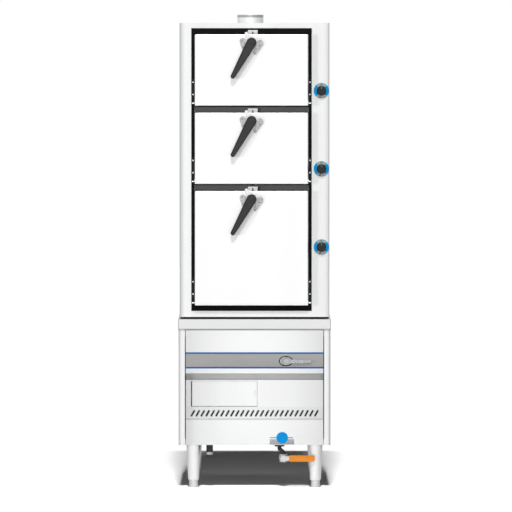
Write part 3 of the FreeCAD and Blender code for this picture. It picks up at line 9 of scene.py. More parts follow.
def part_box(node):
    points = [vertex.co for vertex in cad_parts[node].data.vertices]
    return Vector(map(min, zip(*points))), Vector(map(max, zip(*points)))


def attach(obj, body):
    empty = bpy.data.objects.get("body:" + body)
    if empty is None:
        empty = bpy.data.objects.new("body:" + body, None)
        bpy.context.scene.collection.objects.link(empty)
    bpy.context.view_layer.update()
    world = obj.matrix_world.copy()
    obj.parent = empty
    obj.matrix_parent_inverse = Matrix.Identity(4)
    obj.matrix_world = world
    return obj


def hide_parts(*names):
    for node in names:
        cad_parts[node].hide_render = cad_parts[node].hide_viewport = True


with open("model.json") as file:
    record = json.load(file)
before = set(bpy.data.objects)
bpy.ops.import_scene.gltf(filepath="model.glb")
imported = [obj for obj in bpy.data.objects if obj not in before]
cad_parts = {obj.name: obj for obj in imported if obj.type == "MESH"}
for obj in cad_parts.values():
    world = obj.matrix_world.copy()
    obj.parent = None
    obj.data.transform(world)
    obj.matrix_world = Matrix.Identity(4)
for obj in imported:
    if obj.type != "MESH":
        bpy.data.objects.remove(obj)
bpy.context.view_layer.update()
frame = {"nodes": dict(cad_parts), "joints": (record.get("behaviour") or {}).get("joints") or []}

# A gas steam cabinet: three steel chambers with drop doors over a boiler base on legs.
# Metres, doors facing -Y, floor at z = 0.

MM = 0.001
TIERS = ("upper", "middle", "lower")
nodes = frame["nodes"]


# Sizes read from the frame

def low_of(node):
    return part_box(node)[0]


def high_of(node):
    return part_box(node)[1]


def joint_anchor(name):
    """The point a joint turns about, from the record."""
    for joint in frame["joints"]:
        if joint["name"] == name:
            return Vector(joint["pos_m"])
    raise KeyError(name)


def cut_box(node, tier):
    """The box of the part of a node that lies level with one door."""
    door_low, door_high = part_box(f"door_{tier}_outer")
    points = [v.co for v in nodes[node].data.vertices
              if door_low.z - 30 * MM < v.co.z < door_high.z + 25 * MM]
    corners = [[pick(p[axis] for p in points) for axis in range(3)] for pick in (min, max)]
    return Vector(corners[0]), Vector(corners[1])


# Modelling helpers

def clear_selection():
    if bpy.context.mode != "OBJECT":
        bpy.ops.object.mode_set(mode="OBJECT")
    bpy.ops.object.select_all(action="DESELECT")


def choose(piece):
    """Select one piece alone and make it the active one."""
    clear_selection()
    piece.select_set(True)
    bpy.context.view_layer.objects.active = piece


def take_new(name, scale=(1, 1, 1)):
    """Name the new object and leave it at the origin with its place in its mesh."""
    piece = bpy.context.active_object
    piece.name = piece.data.name = name
    piece.scale = scale
    choose(piece)
    bpy.ops.object.transform_apply(location=True, rotation=True, scale=True)
    return piece


def add_block(name, low, high):
    clear_selection()
    low, high = Vector(low), Vector(high)
    bpy.ops.mesh.primitive_cube_add(size=1, location=(low + high) / 2)
    return take_new(name, high - low)


TURN_TO = {"x": (0, math.radians(90), 0), "y": (math.radians(90), 0, 0), "z": (0, 0, 0)}


def add_disc(name, centre, radius, depth, axis="y", sides=48):
    clear_selection()
    bpy.ops.mesh.primitive_cylinder_add(
        vertices=sides, radius=radius, depth=depth, location=centre, rotation=TURN_TO[axis])
    return take_new(name)


def edit(piece):
    """Enter edit mode with nothing selected."""
    choose(piece)
    bpy.ops.object.mode_set(mode="EDIT")
    start_pick(piece, "FACE")


def leave(piece):
    bpy.ops.object.mode_set(mode="OBJECT")
    clear_selection()
    return piece


def start_pick(piece, kind):
    """Deselect all, and give the mesh in edit mode."""
    bpy.ops.mesh.select_mode(type=kind)
    bpy.ops.mesh.select_all(action="DESELECT")
    return bmesh.from_edit_mesh(piece.data)


def pick_faces(piece, test):
    """Select the faces that pass a test, by their middle and normal."""
    mesh = start_pick(piece, "FACE")
    for face in mesh.faces:
        face.select_set(test(face.calc_center_median(), face.normal))
    mesh.select_flush_mode()
    bmesh.update_edit_mesh(piece.data)


def pick_front(piece, flatness=0.9):
    """Select the faces that look towards the doors' side, -Y."""
    pick_faces(piece, lambda centre, normal: normal.y < -flatness)


def pick_edges(piece, test):
    """Select the edges whose two ends pass a test."""
    mesh = start_pick(piece, "EDGE")
    for edge in mesh.edges:
        edge.select_set(all(test(vert.co) for vert in edge.verts))
    bmesh.update_edit_mesh(piece.data)


def pick_rods(piece, test):
    """Select the edges that run along Y and whose middle passes a test."""
    mesh = start_pick(piece, "EDGE")
    for edge in mesh.edges:
        run = edge.verts[1].co - edge.verts[0].co
        middle = (edge.verts[0].co + edge.verts[1].co) / 2
        edge.select_set(abs(run.y) > 0.99 * run.length and test(middle))
    bmesh.update_edit_mesh(piece.data)


def pick_points(piece, test):
    mesh = start_pick(piece, "VERT")
    for vert in mesh.verts:
        vert.select_set(test(vert.co))
    mesh.select_flush_mode()
    bmesh.update_edit_mesh(piece.data)


def inset(width, depth=0.0):
    bpy.ops.mesh.inset(thickness=width, depth=depth)


def press_front(piece, *steps):
    """Inset the faces towards -Y step by step, each by a width and a depth in mm."""
    edit(piece)
    pick_front(piece)
    for width, depth in steps:
        inset(width * MM, depth * MM)
    leave(piece)


def bevel_edges(width, steps):
    bpy.ops.mesh.bevel(offset=width, segments=steps, affect="EDGES")


def push(offset):
    """Extrude the picked faces by an offset."""
    bpy.ops.mesh.extrude_region_move(TRANSFORM_OT_translate={"value": offset})


def copy_piece(piece, name, offset):
    twin = piece.copy()
    twin.data = piece.data.copy()
    twin.name = twin.data.name = name
    bpy.context.scene.collection.objects.link(twin)
    twin.data.transform(Matrix.Translation(offset))
    return twin


def join(name, pieces):
    clear_selection()
    for piece in pieces:
        piece.select_set(True)
    bpy.context.view_layer.objects.active = pieces[0]
    if len(pieces) > 1:
        bpy.ops.object.join()
    whole = bpy.context.active_object
    whole.name = whole.data.name = name
    clear_selection()
    return whole


def turn(piece, about, axis, angle):
    """Turn a piece about a point."""
    swing = Matrix.Rotation(angle, 4, axis)
    piece.data.transform(Matrix.Translation(about) @ swing @ Matrix.Translation(-Vector(about)))


def apply_change(piece, kind, **settings):
    """Add one modifier to a piece and apply it."""
    choose(piece)
    change = piece.modifiers.new("change", kind)
    for key, amount in settings.items():
        setattr(change, key, amount)
    bpy.ops.object.modifier_apply(modifier=change.name)


def combine(piece, other, operation):
    """Add another solid to a piece, or cut it away."""
    apply_change(piece, "BOOLEAN", operation=operation, solver="EXACT", object=other)
    bpy.data.objects.remove(other)
    return piece


def flatten(piece, about, share):
    """Scale all of a piece along z about a point."""
    edit(piece)
    bpy.ops.mesh.select_all(action="SELECT")
    bpy.ops.transform.resize(value=(1, 1, share), center_override=tuple(about))
    leave(piece)


def soften(piece, width, steps=2, angle=40):
    """A small round on all sharp edges."""
    apply_change(piece, "BEVEL", width=width, segments=steps, limit_method="ANGLE",
                 angle_limit=math.radians(angle))


def paint(piece, number, test):
    """Give the faces that pass a test another of the piece's materials."""
    for face in piece.data.polygons:
        if test(face.center, face.normal):
            face.material_index = number


SMOOTH_BELOW = math.radians(35)


def dress(piece, body, slot, *finishes):
    """Give a piece its materials and the body it moves with; the slot is not used."""
    numbers = [face.material_index for face in piece.data.polygons]
    piece.data.materials.clear()
    for finish in finishes:
        piece.data.materials.append(finish)
    for face, number in zip(piece.data.polygons, numbers):
        face.material_index = number
    choose(piece)
    bpy.ops.object.shade_smooth_by_angle(angle=SMOOTH_BELOW)
    clear_selection()
    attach(piece, body)


def tapered_bar(name, top, top_radius, reach, tip_radius, y_low, y_high, sides=48):
    """A bar with round ends, wide at the top and narrow at the tip, hanging straight down."""
    middle = (top.x, (y_low + y_high) / 2, top.z)
    bar = add_disc(name, middle, top_radius, y_high - y_low, sides=sides)
    edit(bar)
    pick_points(bar, lambda p: p.z < top.z - 1e-6)
    shrink = tip_radius / top_radius
    bpy.ops.transform.resize(value=(shrink, 1, shrink), center_override=tuple(top))
    bpy.ops.transform.translate(value=(0, 0, -reach))
    return leave(bar)


# Materials

CLOUD_ROUGHNESS = 0.55


def shader_of(made):
    return made.node_tree.nodes["Principled BSDF"]


def finish_of(name, colour, metal=0.0, rough=0.5, gloss=0.5):
    made = bpy.data.materials.new(name)
    made.use_nodes = True
    shader = shader_of(made)
    shader.inputs["Base Color"].default_value = (*colour, 1)
    shader.inputs["Metallic"].default_value = metal
    shader.inputs["Roughness"].default_value = rough
    shader.inputs["Specular IOR Level"].default_value = gloss
    return made


def add_node(made, kind, **settings):
    node = made.node_tree.nodes.new(kind)
    for key, amount in settings.items():
        setattr(node, key, amount)
    return node


def link(made, out, into):
    made.node_tree.links.new(out, into)


def place_on(made, stretch=(1, 1, 1), turned=(0, 0, 0)):
    """Object coordinates through a mapping."""
    coords = add_node(made, "ShaderNodeTexCoord")
    mapping = add_node(made, "ShaderNodeMapping")
    mapping.inputs["Rotation"].default_value = turned
    mapping.inputs["Scale"].default_value = stretch
    link(made, coords.outputs["Object"], mapping.inputs["Vector"])
    return mapping.outputs["Vector"]


def noise(made, vector, scale, detail=3.0, twist=0.0):
    cloud = add_node(made, "ShaderNodeTexNoise")
    cloud.inputs["Scale"].default_value = scale
    cloud.inputs["Detail"].default_value = detail
    cloud.inputs["Roughness"].default_value = CLOUD_ROUGHNESS
    cloud.inputs["Distortion"].default_value = twist
    link(made, vector, cloud.inputs["Vector"])
    return cloud.outputs["Fac"]


def math_node(made, operation, first, second=0.0):
    node = add_node(made, "ShaderNodeMath", operation=operation)
    for socket, amount in zip(node.inputs, (first, second)):
        if isinstance(amount, (int, float)):
            socket.default_value = amount
        else:
            link(made, amount, socket)
    return node.outputs[0]


def times(made, first, second):
    return math_node(made, "MULTIPLY", first, second)


def above(made, value, level):
    """1 where a value is above a level, else 0."""
    return math_node(made, "GREATER_THAN", value, level)


def below(made, value, level):
    return math_node(made, "LESS_THAN", value, level)


def remap(made, factor, low, high, from_low=0.3, from_high=0.7):
    spread = add_node(made, "ShaderNodeMapRange")
    spread.inputs["From Min"].default_value = from_low
    spread.inputs["From Max"].default_value = from_high
    spread.inputs["To Min"].default_value = low
    spread.inputs["To Max"].default_value = high
    link(made, factor, spread.inputs["Value"])
    return spread.outputs["Result"]


def blend_colours(made, factor, first, second):
    mix = add_node(made, "ShaderNodeMix", data_type="RGBA")
    link(made, factor, mix.inputs[0])
    for socket, colour in ((mix.inputs[6], first), (mix.inputs[7], second)):
        if isinstance(colour, (tuple, list)):
            socket.default_value = (*colour, 1)
        else:
            link(made, colour, socket)
    return mix.outputs[2]


def colour_by(made, factor, first, second):
    link(made, blend_colours(made, factor, first, second), shader_of(made).inputs["Base Color"])


def rough_by(made, factor, low, high):
    link(made, remap(made, factor, low, high), shader_of(made).inputs["Roughness"])


def bump_by(made, factor, depth, strength=0.5):
    bump = add_node(made, "ShaderNodeBump")
    bump.inputs["Strength"].default_value = strength
    bump.inputs["Distance"].default_value = depth
    link(made, factor, bump.inputs["Height"])
    link(made, bump.outputs["Normal"], shader_of(made).inputs["Normal"])


STREAKS = {"x": (4, 260, 260), "z": (260, 260, 4), "y": (260, 4, 260)}
BANDS = {"x": (0.12, 9, 9), "z": (9, 9, 0.12), "y": (9, 0.12, 9)}
STREAK_SHARE = 0.45
STREAK_DEPTH = 0.00004
SHEET_METAL = 0.6
SHEET_ROUGH_HALF = 0.035


def brushed(name, colour, grain="z", rough=0.34, stain=0.04):
    """Satin stainless sheet: fine streaks along the grain, and soft wide bands beside them."""
    made = finish_of(name, colour, metal=SHEET_METAL, rough=rough)
    streak = noise(made, place_on(made, STREAKS[grain]), 3.0, detail=4.0)
    band = noise(made, place_on(made, BANDS[grain]), 1.0, detail=2.0)
    both = math_node(made, "ADD", times(made, streak, STREAK_SHARE),
                     times(made, band, 1 - STREAK_SHARE))
    darker = tuple(c * (1 - stain * 2) for c in colour)
    colour_by(made, remap(made, both, 0, 1), darker, colour)
    rough_by(made, both, rough - SHEET_ROUGH_HALF, rough + SHEET_ROUGH_HALF)
    bump_by(made, streak, STREAK_DEPTH, 0.25)
    return made


def cast_metal(name, colour, rough=0.35, scale=260.0, depth=0.0004, mottle=0.35, metal=0.75):
    """Cast or plated metal with a lumpy, mottled skin."""
    made = finish_of(name, colour, metal=metal, rough=rough)
    lumps = noise(made, place_on(made), scale, twist=0.6)
    dark = tuple(c * (1 - mottle) for c in colour)
    colour_by(made, remap(made, lumps, 0, 1), dark, colour)
    rough_by(made, lumps, rough - 0.08, rough + 0.12)
    bump_by(made, lumps, depth, 0.5)
    return made


def moulded(name, colour, rough=0.5, scale=900.0, depth=0.00012, worn=0.25, gloss=0.5):
    """Moulded plastic or rubber with a fine pebble grain and faint rubbed patches."""
    made = finish_of(name, colour, rough=rough, gloss=gloss)
    grain = noise(made, place_on(made), scale, detail=2.0)
    patch = noise(made, place_on(made), 18.0, detail=4.0)
    lighter = tuple(min(1.0, c * (1 + worn) + 0.004) for c in colour)
    colour_by(made, remap(made, patch, 0, 1), colour, lighter)
    rough_by(made, patch, rough - 0.05, rough + 0.1)
    bump_by(made, grain, depth, 0.4)
    return made


STEEL = (0.9, 0.904, 0.91)
BLUE = (0.0, 0.33, 0.8)
DIAL_BLUE = (0, 0.44, 0.98)
LINE_BLUE = (0.0, 0.165, 0.45)

steel_panel = brushed("steel_panel_satin", STEEL)
steel_door = brushed("steel_door_satin", (0.955, 0.957, 0.958), rough=0.36, stain=0.008)
steel_side = brushed("steel_side_satin", STEEL, "y")
steel_inner = brushed("steel_chamber_plain", (0.66, 0.665, 0.68), "y", rough=0.3)
steel_tank = brushed("steel_boiler_plate", (0.55, 0.55, 0.56), "x", rough=0.42, stain=0.08)
steel_leg = brushed("steel_leg_turned", (0.9, 0.905, 0.915), rough=0.3)
steel_foot = brushed("steel_foot_turned", (0.86, 0.865, 0.875), "x", rough=0.25)
steel_rack = brushed("steel_rack_bright", (0.72, 0.73, 0.75), "x", rough=0.22)
steel_pipe = brushed("steel_pipe_plain", (0.6, 0.61, 0.63), rough=0.35)
hinge_black = moulded("hinge_black_enamel", (0.006, 0.006, 0.007), rough=0.4, scale=500,
                      gloss=0.2)
pin_bright = brushed("pin_bright_steel", (0.85, 0.855, 0.86), "x", rough=0.3)
chrome = cast_metal("chrome_latch_casting", (0.66, 0.665, 0.68), rough=0.3, scale=170,
                    mottle=0.45)
hook_bright = cast_metal("hook_bright_steel", (0.92, 0.925, 0.93), rough=0.26, scale=120,
                         mottle=0.12)
keeper_bright = brushed("keeper_bright_steel", (0.9, 0.905, 0.91), "x", rough=0.28, stain=0.06)
screw_steel = cast_metal("screw_head_steel", (0.34, 0.34, 0.35), scale=300, mottle=0.2)
foot_chrome = brushed("chrome_foot_turned", (0.74, 0.745, 0.76), "x", rough=0.22)
nickel = cast_metal("nickel_valve_casting", (0.6, 0.605, 0.62), rough=0.28, scale=240,
                    mottle=0.5)
brass = cast_metal("brass_valve_casting", (0.62, 0.45, 0.2), rough=0.34, scale=300, mottle=0.3)
float_brass = cast_metal("float_ball_brass", (0.7, 0.5, 0.24), rough=0.26, scale=40,
                         depth=0.0001, mottle=0.2)
iron = cast_metal("burner_cast_iron", (0.06, 0.058, 0.056), rough=0.72, scale=420, mottle=0.5,
                  metal=0.3)
black_iron = cast_metal("fitting_black_iron", (0.022, 0.022, 0.024), rough=0.45, scale=300,
                        mottle=0.3, metal=0.4)
blower_grey = moulded("blower_grey_enamel", (0.16, 0.165, 0.175), rough=0.42, scale=500)
# Painted shade for the sunken drives of screws.
recess_shade = moulded("screw_recess_painted_shade", (0.02, 0.02, 0.021), rough=0.6)
lever_rim = moulded("lever_black_rim", (0.009, 0.009, 0.01), rough=0.4, gloss=0.25)
knob_plastic = moulded("knob_black_plastic", (0.008, 0.0075, 0.009), rough=0.28, scale=700,
                       gloss=0.35)
# Painted shade: near-black for the vent baffle and the rims round the vent slots.
slot_shade_black = moulded("vent_slot_painted_shade", (0.0015, 0.0015, 0.0015), rough=0.8, scale=500,
                       gloss=0.05)
steel_stop = brushed("stop_plain_steel", (0.62, 0.62, 0.625), "x", rough=0.4)
gasket = moulded("seat_black_gasket", (0.02, 0.02, 0.021), rough=0.7, scale=600)
ring_black = moulded("ring_black_rubber", (0.003, 0.003, 0.003), scale=600, gloss=0.15)
silicone = moulded("door_seal_silicone", (0.05, 0.05, 0.053), rough=0.55, scale=500)
blue_print = moulded("dial_blue_print", DIAL_BLUE, rough=0.4, scale=1500, worn=0.05, gloss=0.2)
blue_sticker = moulded("sticker_blue_vinyl", BLUE, rough=0.4, scale=1200, worn=0.05, gloss=0.2)
teal_print = moulded("dial_teal_print", (0.07, 0.31, 0.28), rough=0.45, worn=0.1)
green_print = moulded("dial_green_print", (0.06, 0.16, 0.09), rough=0.45, worn=0.1)
dial_silver = brushed("dial_silver_plate", (0.4, 0.39, 0.41), "x", rough=0.35, stain=0.12)
dial_rim = brushed("dial_rim_grey", (0.3, 0.3, 0.32), "x", rough=0.4, stain=0.1)


def split_place(made):
    """The three object coordinates, one by one."""
    split = add_node(made, "ShaderNodeSeparateXYZ")
    link(made, place_on(made), split.inputs["Vector"])
    return split.outputs


def tint_zone(made, zone, colour, amount=1.0):
    """Lay another colour over the base colour, by an amount, where the zone is 1."""
    socket = shader_of(made).inputs["Base Color"]
    base = socket.links[0].from_socket
    link(made, blend_colours(made, times(made, zone, amount), base, colour), socket)


def tint_past(made, side, axis, level, colour, amount=1.0):
    """Lay another colour over all that is above or below a level on one axis."""
    tint_zone(made, side(made, split_place(made)[axis], level), colour, amount)


def make_lever_grip():
    """Black plastic with a fine slanting moulded hatch."""
    made = moulded("lever_black_grip", (0.02, 0.02, 0.021), gloss=0.25)
    ribs = add_node(made, "ShaderNodeTexWave", wave_type="BANDS", bands_direction="X")
    ribs.inputs["Scale"].default_value = 75.0
    ribs.inputs["Distortion"].default_value = 1.5
    link(made, place_on(made, turned=(0, math.radians(30), 0)), ribs.inputs["Vector"])
    tint_zone(made, ribs.outputs["Fac"], (0.062, 0.062, 0.064), 0.55)
    return made


lever_grip = make_lever_grip()


def paint_edge_shade(made, node, fade, left, right, deep=10 * MM):
    """Painted shade: darken a sheet towards its folded upright edges, by its own amount at each
    side.
    """
    place = split_place(made)
    front = low_of(node).y + deep
    half_width = high_of(node).x
    fall = remap(made, place["Y"], 1, 0, front, front + 6 * MM)
    for side, amount in ((-1, left), (1, right)):
        out = times(made, place["X"], side)
        near = remap(made, out, 0, 1, half_width - fade, half_width)
        curve = times(made, near, near)
        tint_zone(made, times(made, curve, fall), (0.12, 0.12, 0.122), amount)


def paint_end_shade(made, amount):
    """Painted shade: darken a front panel gently towards its left and right ends, so its middle
    looks brighter lit.
    """
    reach = math_node(made, "ABSOLUTE", split_place(made)["X"])
    out = math_node(made, "POWER", math_node(made, "DIVIDE", reach, high_of("fascia").x), 2.2)
    tint_zone(made, out, (0.25, 0.25, 0.255), amount)


# A brushed front panel with painted shade towards its left and right ends.
def front_panel(name, colour, grain="z", end_shade=0.3):
    made = brushed(name, colour, grain, stain=0.03)
    paint_end_shade(made, end_shade)
    return made


def paint_turned_shade(made, radius, amount, power):
    """Painted shade: darken turned legs and feet towards their left and right sides, as round parts
    turn from the light.
    """
    reach = math_node(made, "ABSOLUTE", split_place(made)["X"])
    off = math_node(made, "ABSOLUTE", math_node(made, "SUBTRACT", reach, LEG_MIDDLE))
    out = math_node(made, "POWER", math_node(made, "DIVIDE", off, radius), power)
    tint_zone(made, out, (0.16, 0.16, 0.165), amount)


LEG_RADIUS = 30 * MM
LEG_MIDDLE = high_of("legs").x - LEG_RADIUS
FOOT_RADIUS = 21 * MM
THREAD_PITCH = 8 * MM
# Painted shade towards the sides of the legs and the feet.
paint_turned_shade(steel_leg, LEG_RADIUS, 0.8, 2.4)
paint_turned_shade(steel_foot, FOOT_RADIUS, 0.85, 3)
# Painted shade in the feet's threads: a dark groove band once in every thread pitch.
thread = math_node(steel_foot, "DIVIDE", split_place(steel_foot)["Z"], THREAD_PITCH)
thread_groove_shade = below(steel_foot, math_node(steel_foot, "FRACT", thread), 0.35)
tint_zone(steel_foot, thread_groove_shade, (0.12, 0.12, 0.123), 0.5)

KEEPER_HOLE = (5 * MM, 34 * MM)


def paint_keeper_hole_shade(made):
    """Painted shade: a dark dot in the middle of each latch keeper stands for the shade in its
    screw hole, with a faintly darker ring round it.
    """
    place = split_place(made)
    for tier in TIERS:
        pivot = joint_anchor(f"latch_{tier}_turn")
        across = math_node(made, "SUBTRACT", place["X"], pivot.x + KEEPER_HOLE[0])
        up = math_node(made, "SUBTRACT", place["Z"], pivot.z + KEEPER_HOLE[1])
        square = math_node(made, "ADD", times(made, across, across), times(made, up, up))
        reach = math_node(made, "SQRT", square)
        tint_zone(made, below(made, reach, 10 * MM), (0.1, 0.1, 0.1), 0.18)
        tint_zone(made, below(made, reach, 4 * MM), (0.01, 0.01, 0.01))


paint_keeper_hole_shade(keeper_bright)

FASCIA_FOLD_Z = 459.5 * MM
VENT_STRIP_TOP_Z = 324 * MM
LOWER_STEEL = (0.93, 0.933, 0.937)
steel_fascia = front_panel("steel_fascia_satin", (0.95, 0.952, 0.955), "x")
# Painted shade: the sloped fold below the fascia's face is darkened, as a face turned down from the
# light.
tint_past(steel_fascia, below, "Z", FASCIA_FOLD_Z, (0.22, 0.22, 0.222), 0.5)
steel_lower = front_panel("steel_lower_satin", LOWER_STEEL)
tint_past(steel_lower, below, "Z", VENT_STRIP_TOP_Z, (0.3, 0.3, 0.303), 0.1)
steel_hatch = front_panel("steel_hatch_satin", LOWER_STEEL)
# Painted shade: a near-black strip along the left edge of the hatch.
tint_past(steel_hatch, below, "X", low_of("hatch_door").x + 2.6 * MM, (0.03, 0.03, 0.031))
steel_kick = front_panel("steel_kick_satin", (0.92, 0.923, 0.927), "x", 0.26)
# Painted shade: a darker band along the top edge of the kick panel.
tint_past(steel_kick, above, "Z", high_of("kick_panel").z - 2.4 * MM, (0.15, 0.15, 0.152), 0.42)
steel_shell = brushed("steel_shell_satin", STEEL, stain=0.05)
# Painted shade towards the upright edges of the shell, and of the base posts below.
paint_edge_shade(steel_shell, "outer_shell", 26 * MM, 0.62, 0.4)
steel_post = brushed("steel_post_satin", STEEL, stain=0.05)
paint_edge_shade(steel_post, "base_frame", 14 * MM, 0.75, 0.95, 4 * MM)
steel_counter = brushed("steel_counter_across", (0.81, 0.814, 0.82), "x", stain=0.05)
# Painted shade on the counter towards its upright edges and along the foot of its front lip.
paint_edge_shade(steel_counter, "counter_top", 6 * MM, 1.0, 0.9, 4 * MM)
tint_past(steel_counter, below, "Z", low_of("counter_top").z + 3.5 * MM, (0.15, 0.15, 0.152), 0.6)


def make_field_rubber():
    """Black rubber round the doors; the flat bars between one door and the next are painted paler,
    painted light that draws the same rubber as lit there.
    """
    made = moulded("field_black_rubber", (0.002, 0.002, 0.0022), rough=0.55, scale=420,
                   gloss=0.07)
    place = split_place(made)
    low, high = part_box("door_surround")
    edge = 12 * MM
    inside = times(made, above(made, place["X"], low.x + edge),
                   below(made, place["X"], high.x - edge))
    bars = 0.0
    for over, under in (("upper", "middle"), ("middle", "lower")):
        top = low_of(f"door_{over}_outer").z - 5 * MM
        bottom = high_of(f"door_{under}_outer").z
        bar = times(made, below(made, place["Z"], top), above(made, place["Z"], bottom))
        bars = math_node(made, "ADD", bar, bars)
    # Painted light: the bars between the doors drawn paler than the rubber round them.
    tint_zone(made, times(made, bars, inside), (0.15, 0.15, 0.151))
    return made


def make_strip_metal():
    """The control strip: aluminium brushed along X with a blue line at each long edge."""
    made = brushed("strip_brushed_aluminium", (0.455, 0.447, 0.442), "x", rough=0.36, stain=0.16)
    place = split_place(made)
    low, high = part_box("control_strip")
    shader_of(made).inputs["Specular IOR Level"].default_value = 0.1
    line = 6.5 * MM
    lines = math_node(made, "ADD", above(made, place["Z"], high.z - line),
                      below(made, place["Z"], low.z + line))
    tint_zone(made, lines, LINE_BLUE)
    bare = math_node(made, "SUBTRACT", 1.0, lines)
    link(made, times(made, bare, SHEET_METAL), shader_of(made).inputs["Metallic"])
    return made


def make_collar_steel():
    """The flue collar: painted shade towards its left and right sides, and a darker grey band round
    its rolled rim.
    """
    made = brushed("collar_steel", STEEL, "x")
    low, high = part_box("flue_collar")
    off = math_node(made, "SUBTRACT", split_place(made)["X"], (low.x + high.x) / 2)
    out = math_node(made, "DIVIDE", math_node(made, "ABSOLUTE", off), (high.x - low.x) / 2)
    side = math_node(made, "POWER", out, 5)
    tint_zone(made, side, (0.2, 0.2, 0.203), 0.35)
    tint_past(made, above, "Z", high.z - 11 * MM, (0.4, 0.403, 0.41))
    return made


def make_inlet_iron():
    """The gas inlet: black nut above a pale plated ring."""
    made = cast_metal("inlet_black_iron", (0.012, 0.012, 0.013), rough=0.45, scale=300, mottle=0.3,
                      metal=0.2)
    place = split_place(made)
    low = low_of("gas_inlet").z
    ring = times(made, below(made, place["Z"], low + 15 * MM),
                 above(made, place["Z"], low + 4 * MM))
    tint_zone(made, ring, (0.5, 0.5, 0.49))
    return made


def make_label_grey():
    """Grey printed label with a faint speckle."""
    made = moulded("label_grey_print", (0.36, 0.36, 0.36), worn=0.1)
    speckle = noise(made, place_on(made), 160.0)
    tint_zone(made, remap(made, speckle, 0, 0.8), (0.56, 0.56, 0.56))
    return made


def make_wool():
    made = finish_of("blanket_mineral_wool", (0.62, 0.55, 0.36), rough=0.95)
    fibre = noise(made, place_on(made, (40, 200, 60)), 6.0, detail=6.0, twist=1.5)
    colour_by(made, remap(made, fibre, 0, 1), (0.48, 0.42, 0.26), (0.72, 0.66, 0.46))
    bump_by(made, fibre, 0.002, 0.7)
    return made


def make_mild_steel():
    """Zinc coated frame angle with its spangle."""
    made = finish_of("frame_galvanised_steel", (0.5, 0.51, 0.52), metal=0.9, rough=0.45)
    cells = add_node(made, "ShaderNodeTexVoronoi")
    cells.inputs["Scale"].default_value = 70
    link(made, place_on(made), cells.inputs["Vector"])
    tone = add_node(made, "ShaderNodeSeparateXYZ")
    link(made, cells.outputs["Color"], tone.inputs["Vector"])
    colour_by(made, tone.outputs["X"], (0.4, 0.41, 0.42), (0.6, 0.61, 0.62))
    rough_by(made, tone.outputs["Y"], 0.35, 0.55)
    return made


def make_flue_steel():
    """Duct heated to a straw tint."""
    made = brushed("flue_heat_tinted_steel", (0.4, 0.39, 0.38), rough=0.38, stain=0.15)
    cloud = noise(made, place_on(made, (3, 3, 6)), 2.0)
    tint_zone(made, remap(made, cloud, 0, 0.6), (0.3, 0.2, 0.14))
    return made


field_rubber = make_field_rubber()
strip_metal = make_strip_metal()
collar_steel = make_collar_steel()
inlet_iron = make_inlet_iron()
label_grey = make_label_grey()
wool = make_wool()
mild_steel = make_mild_steel()
flue_steel = make_flue_steel()
orange_vinyl = moulded("sleeve_orange_vinyl", (0.84, 0.29, 0.03), rough=0.38, scale=260,
                       depth=0.0002, worn=0.12)

# What each CAD node is made of

NODE_FINISHES = {
    "outer_shell": steel_shell, "rear_cover": steel_panel, "insulation": wool,
    "door_surround": field_rubber, "steam_racks": steel_rack, "hinge_brackets": hinge_black,
    "hinge_pins": pin_bright, "hinge_screws": pin_bright, "latch_keepers": keeper_bright,
    "knob_dials": dial_silver, "steam_valves": brass, "steam_riser": steel_pipe,
    "flue_duct": flue_steel, "flue_collar": collar_steel, "counter_top": steel_counter,
    "seat_gasket": gasket, "base_frame": steel_post, "base_shell": steel_side,
    "base_floor": steel_inner, "fascia": steel_fascia, "control_strip": strip_metal,
    "hatch_frame": steel_lower, "hatch_door": steel_hatch, "kick_panel": steel_kick,
    "gas_valve": brass, "gas_lever": nickel, "water_tank": steel_tank, "burner": iron,
    "blower_housing": blower_grey, "blower_wheel": mild_steel, "float_box": steel_inner,
    "float_arm": float_brass, "gas_inlet": inlet_iron, "drain_pipe_line": black_iron,
    "drain_valve_body": nickel, "drain_lever": foot_chrome, "drain_lever_sleeve": orange_vinyl,
    "legs": steel_leg, "levelling_feet": steel_foot,
}
for tier in TIERS:
    NODE_FINISHES[f"chamber_{tier}_liner"] = steel_inner
    NODE_FINISHES[f"door_{tier}_outer"] = steel_door
    NODE_FINISHES[f"door_{tier}_inner"] = steel_inner
    NODE_FINISHES[f"latch_{tier}_plate"] = chrome
    NODE_FINISHES[f"latch_{tier}_hook"] = hook_bright
    NODE_FINISHES[f"latch_{tier}_lever"] = lever_rim
    NODE_FINISHES[f"knob_{tier}"] = knob_plastic


def dress_nodes():
    for name, finish in NODE_FINISHES.items():
        node = nodes[name]
        if not node.material_slots:
            node.data.materials.append(finish)
        for held in node.material_slots:
            held.material = finish


# Dials printed on the plate behind each knob, and the knobs

DIAL_HALF_BLUE = math.radians(50)
DIAL_INNER = 19.4 * MM
DIAL_RIM = 1.0 * MM
DIAL_MARK_HALF = math.radians(11)
DIAL_STOP_AT = math.radians(-166)
DIAL_STOP_HALF = math.radians(6)
CAP_RADIUS = 14.5 * MM
SKIRT_RADIUS = 19.6 * MM


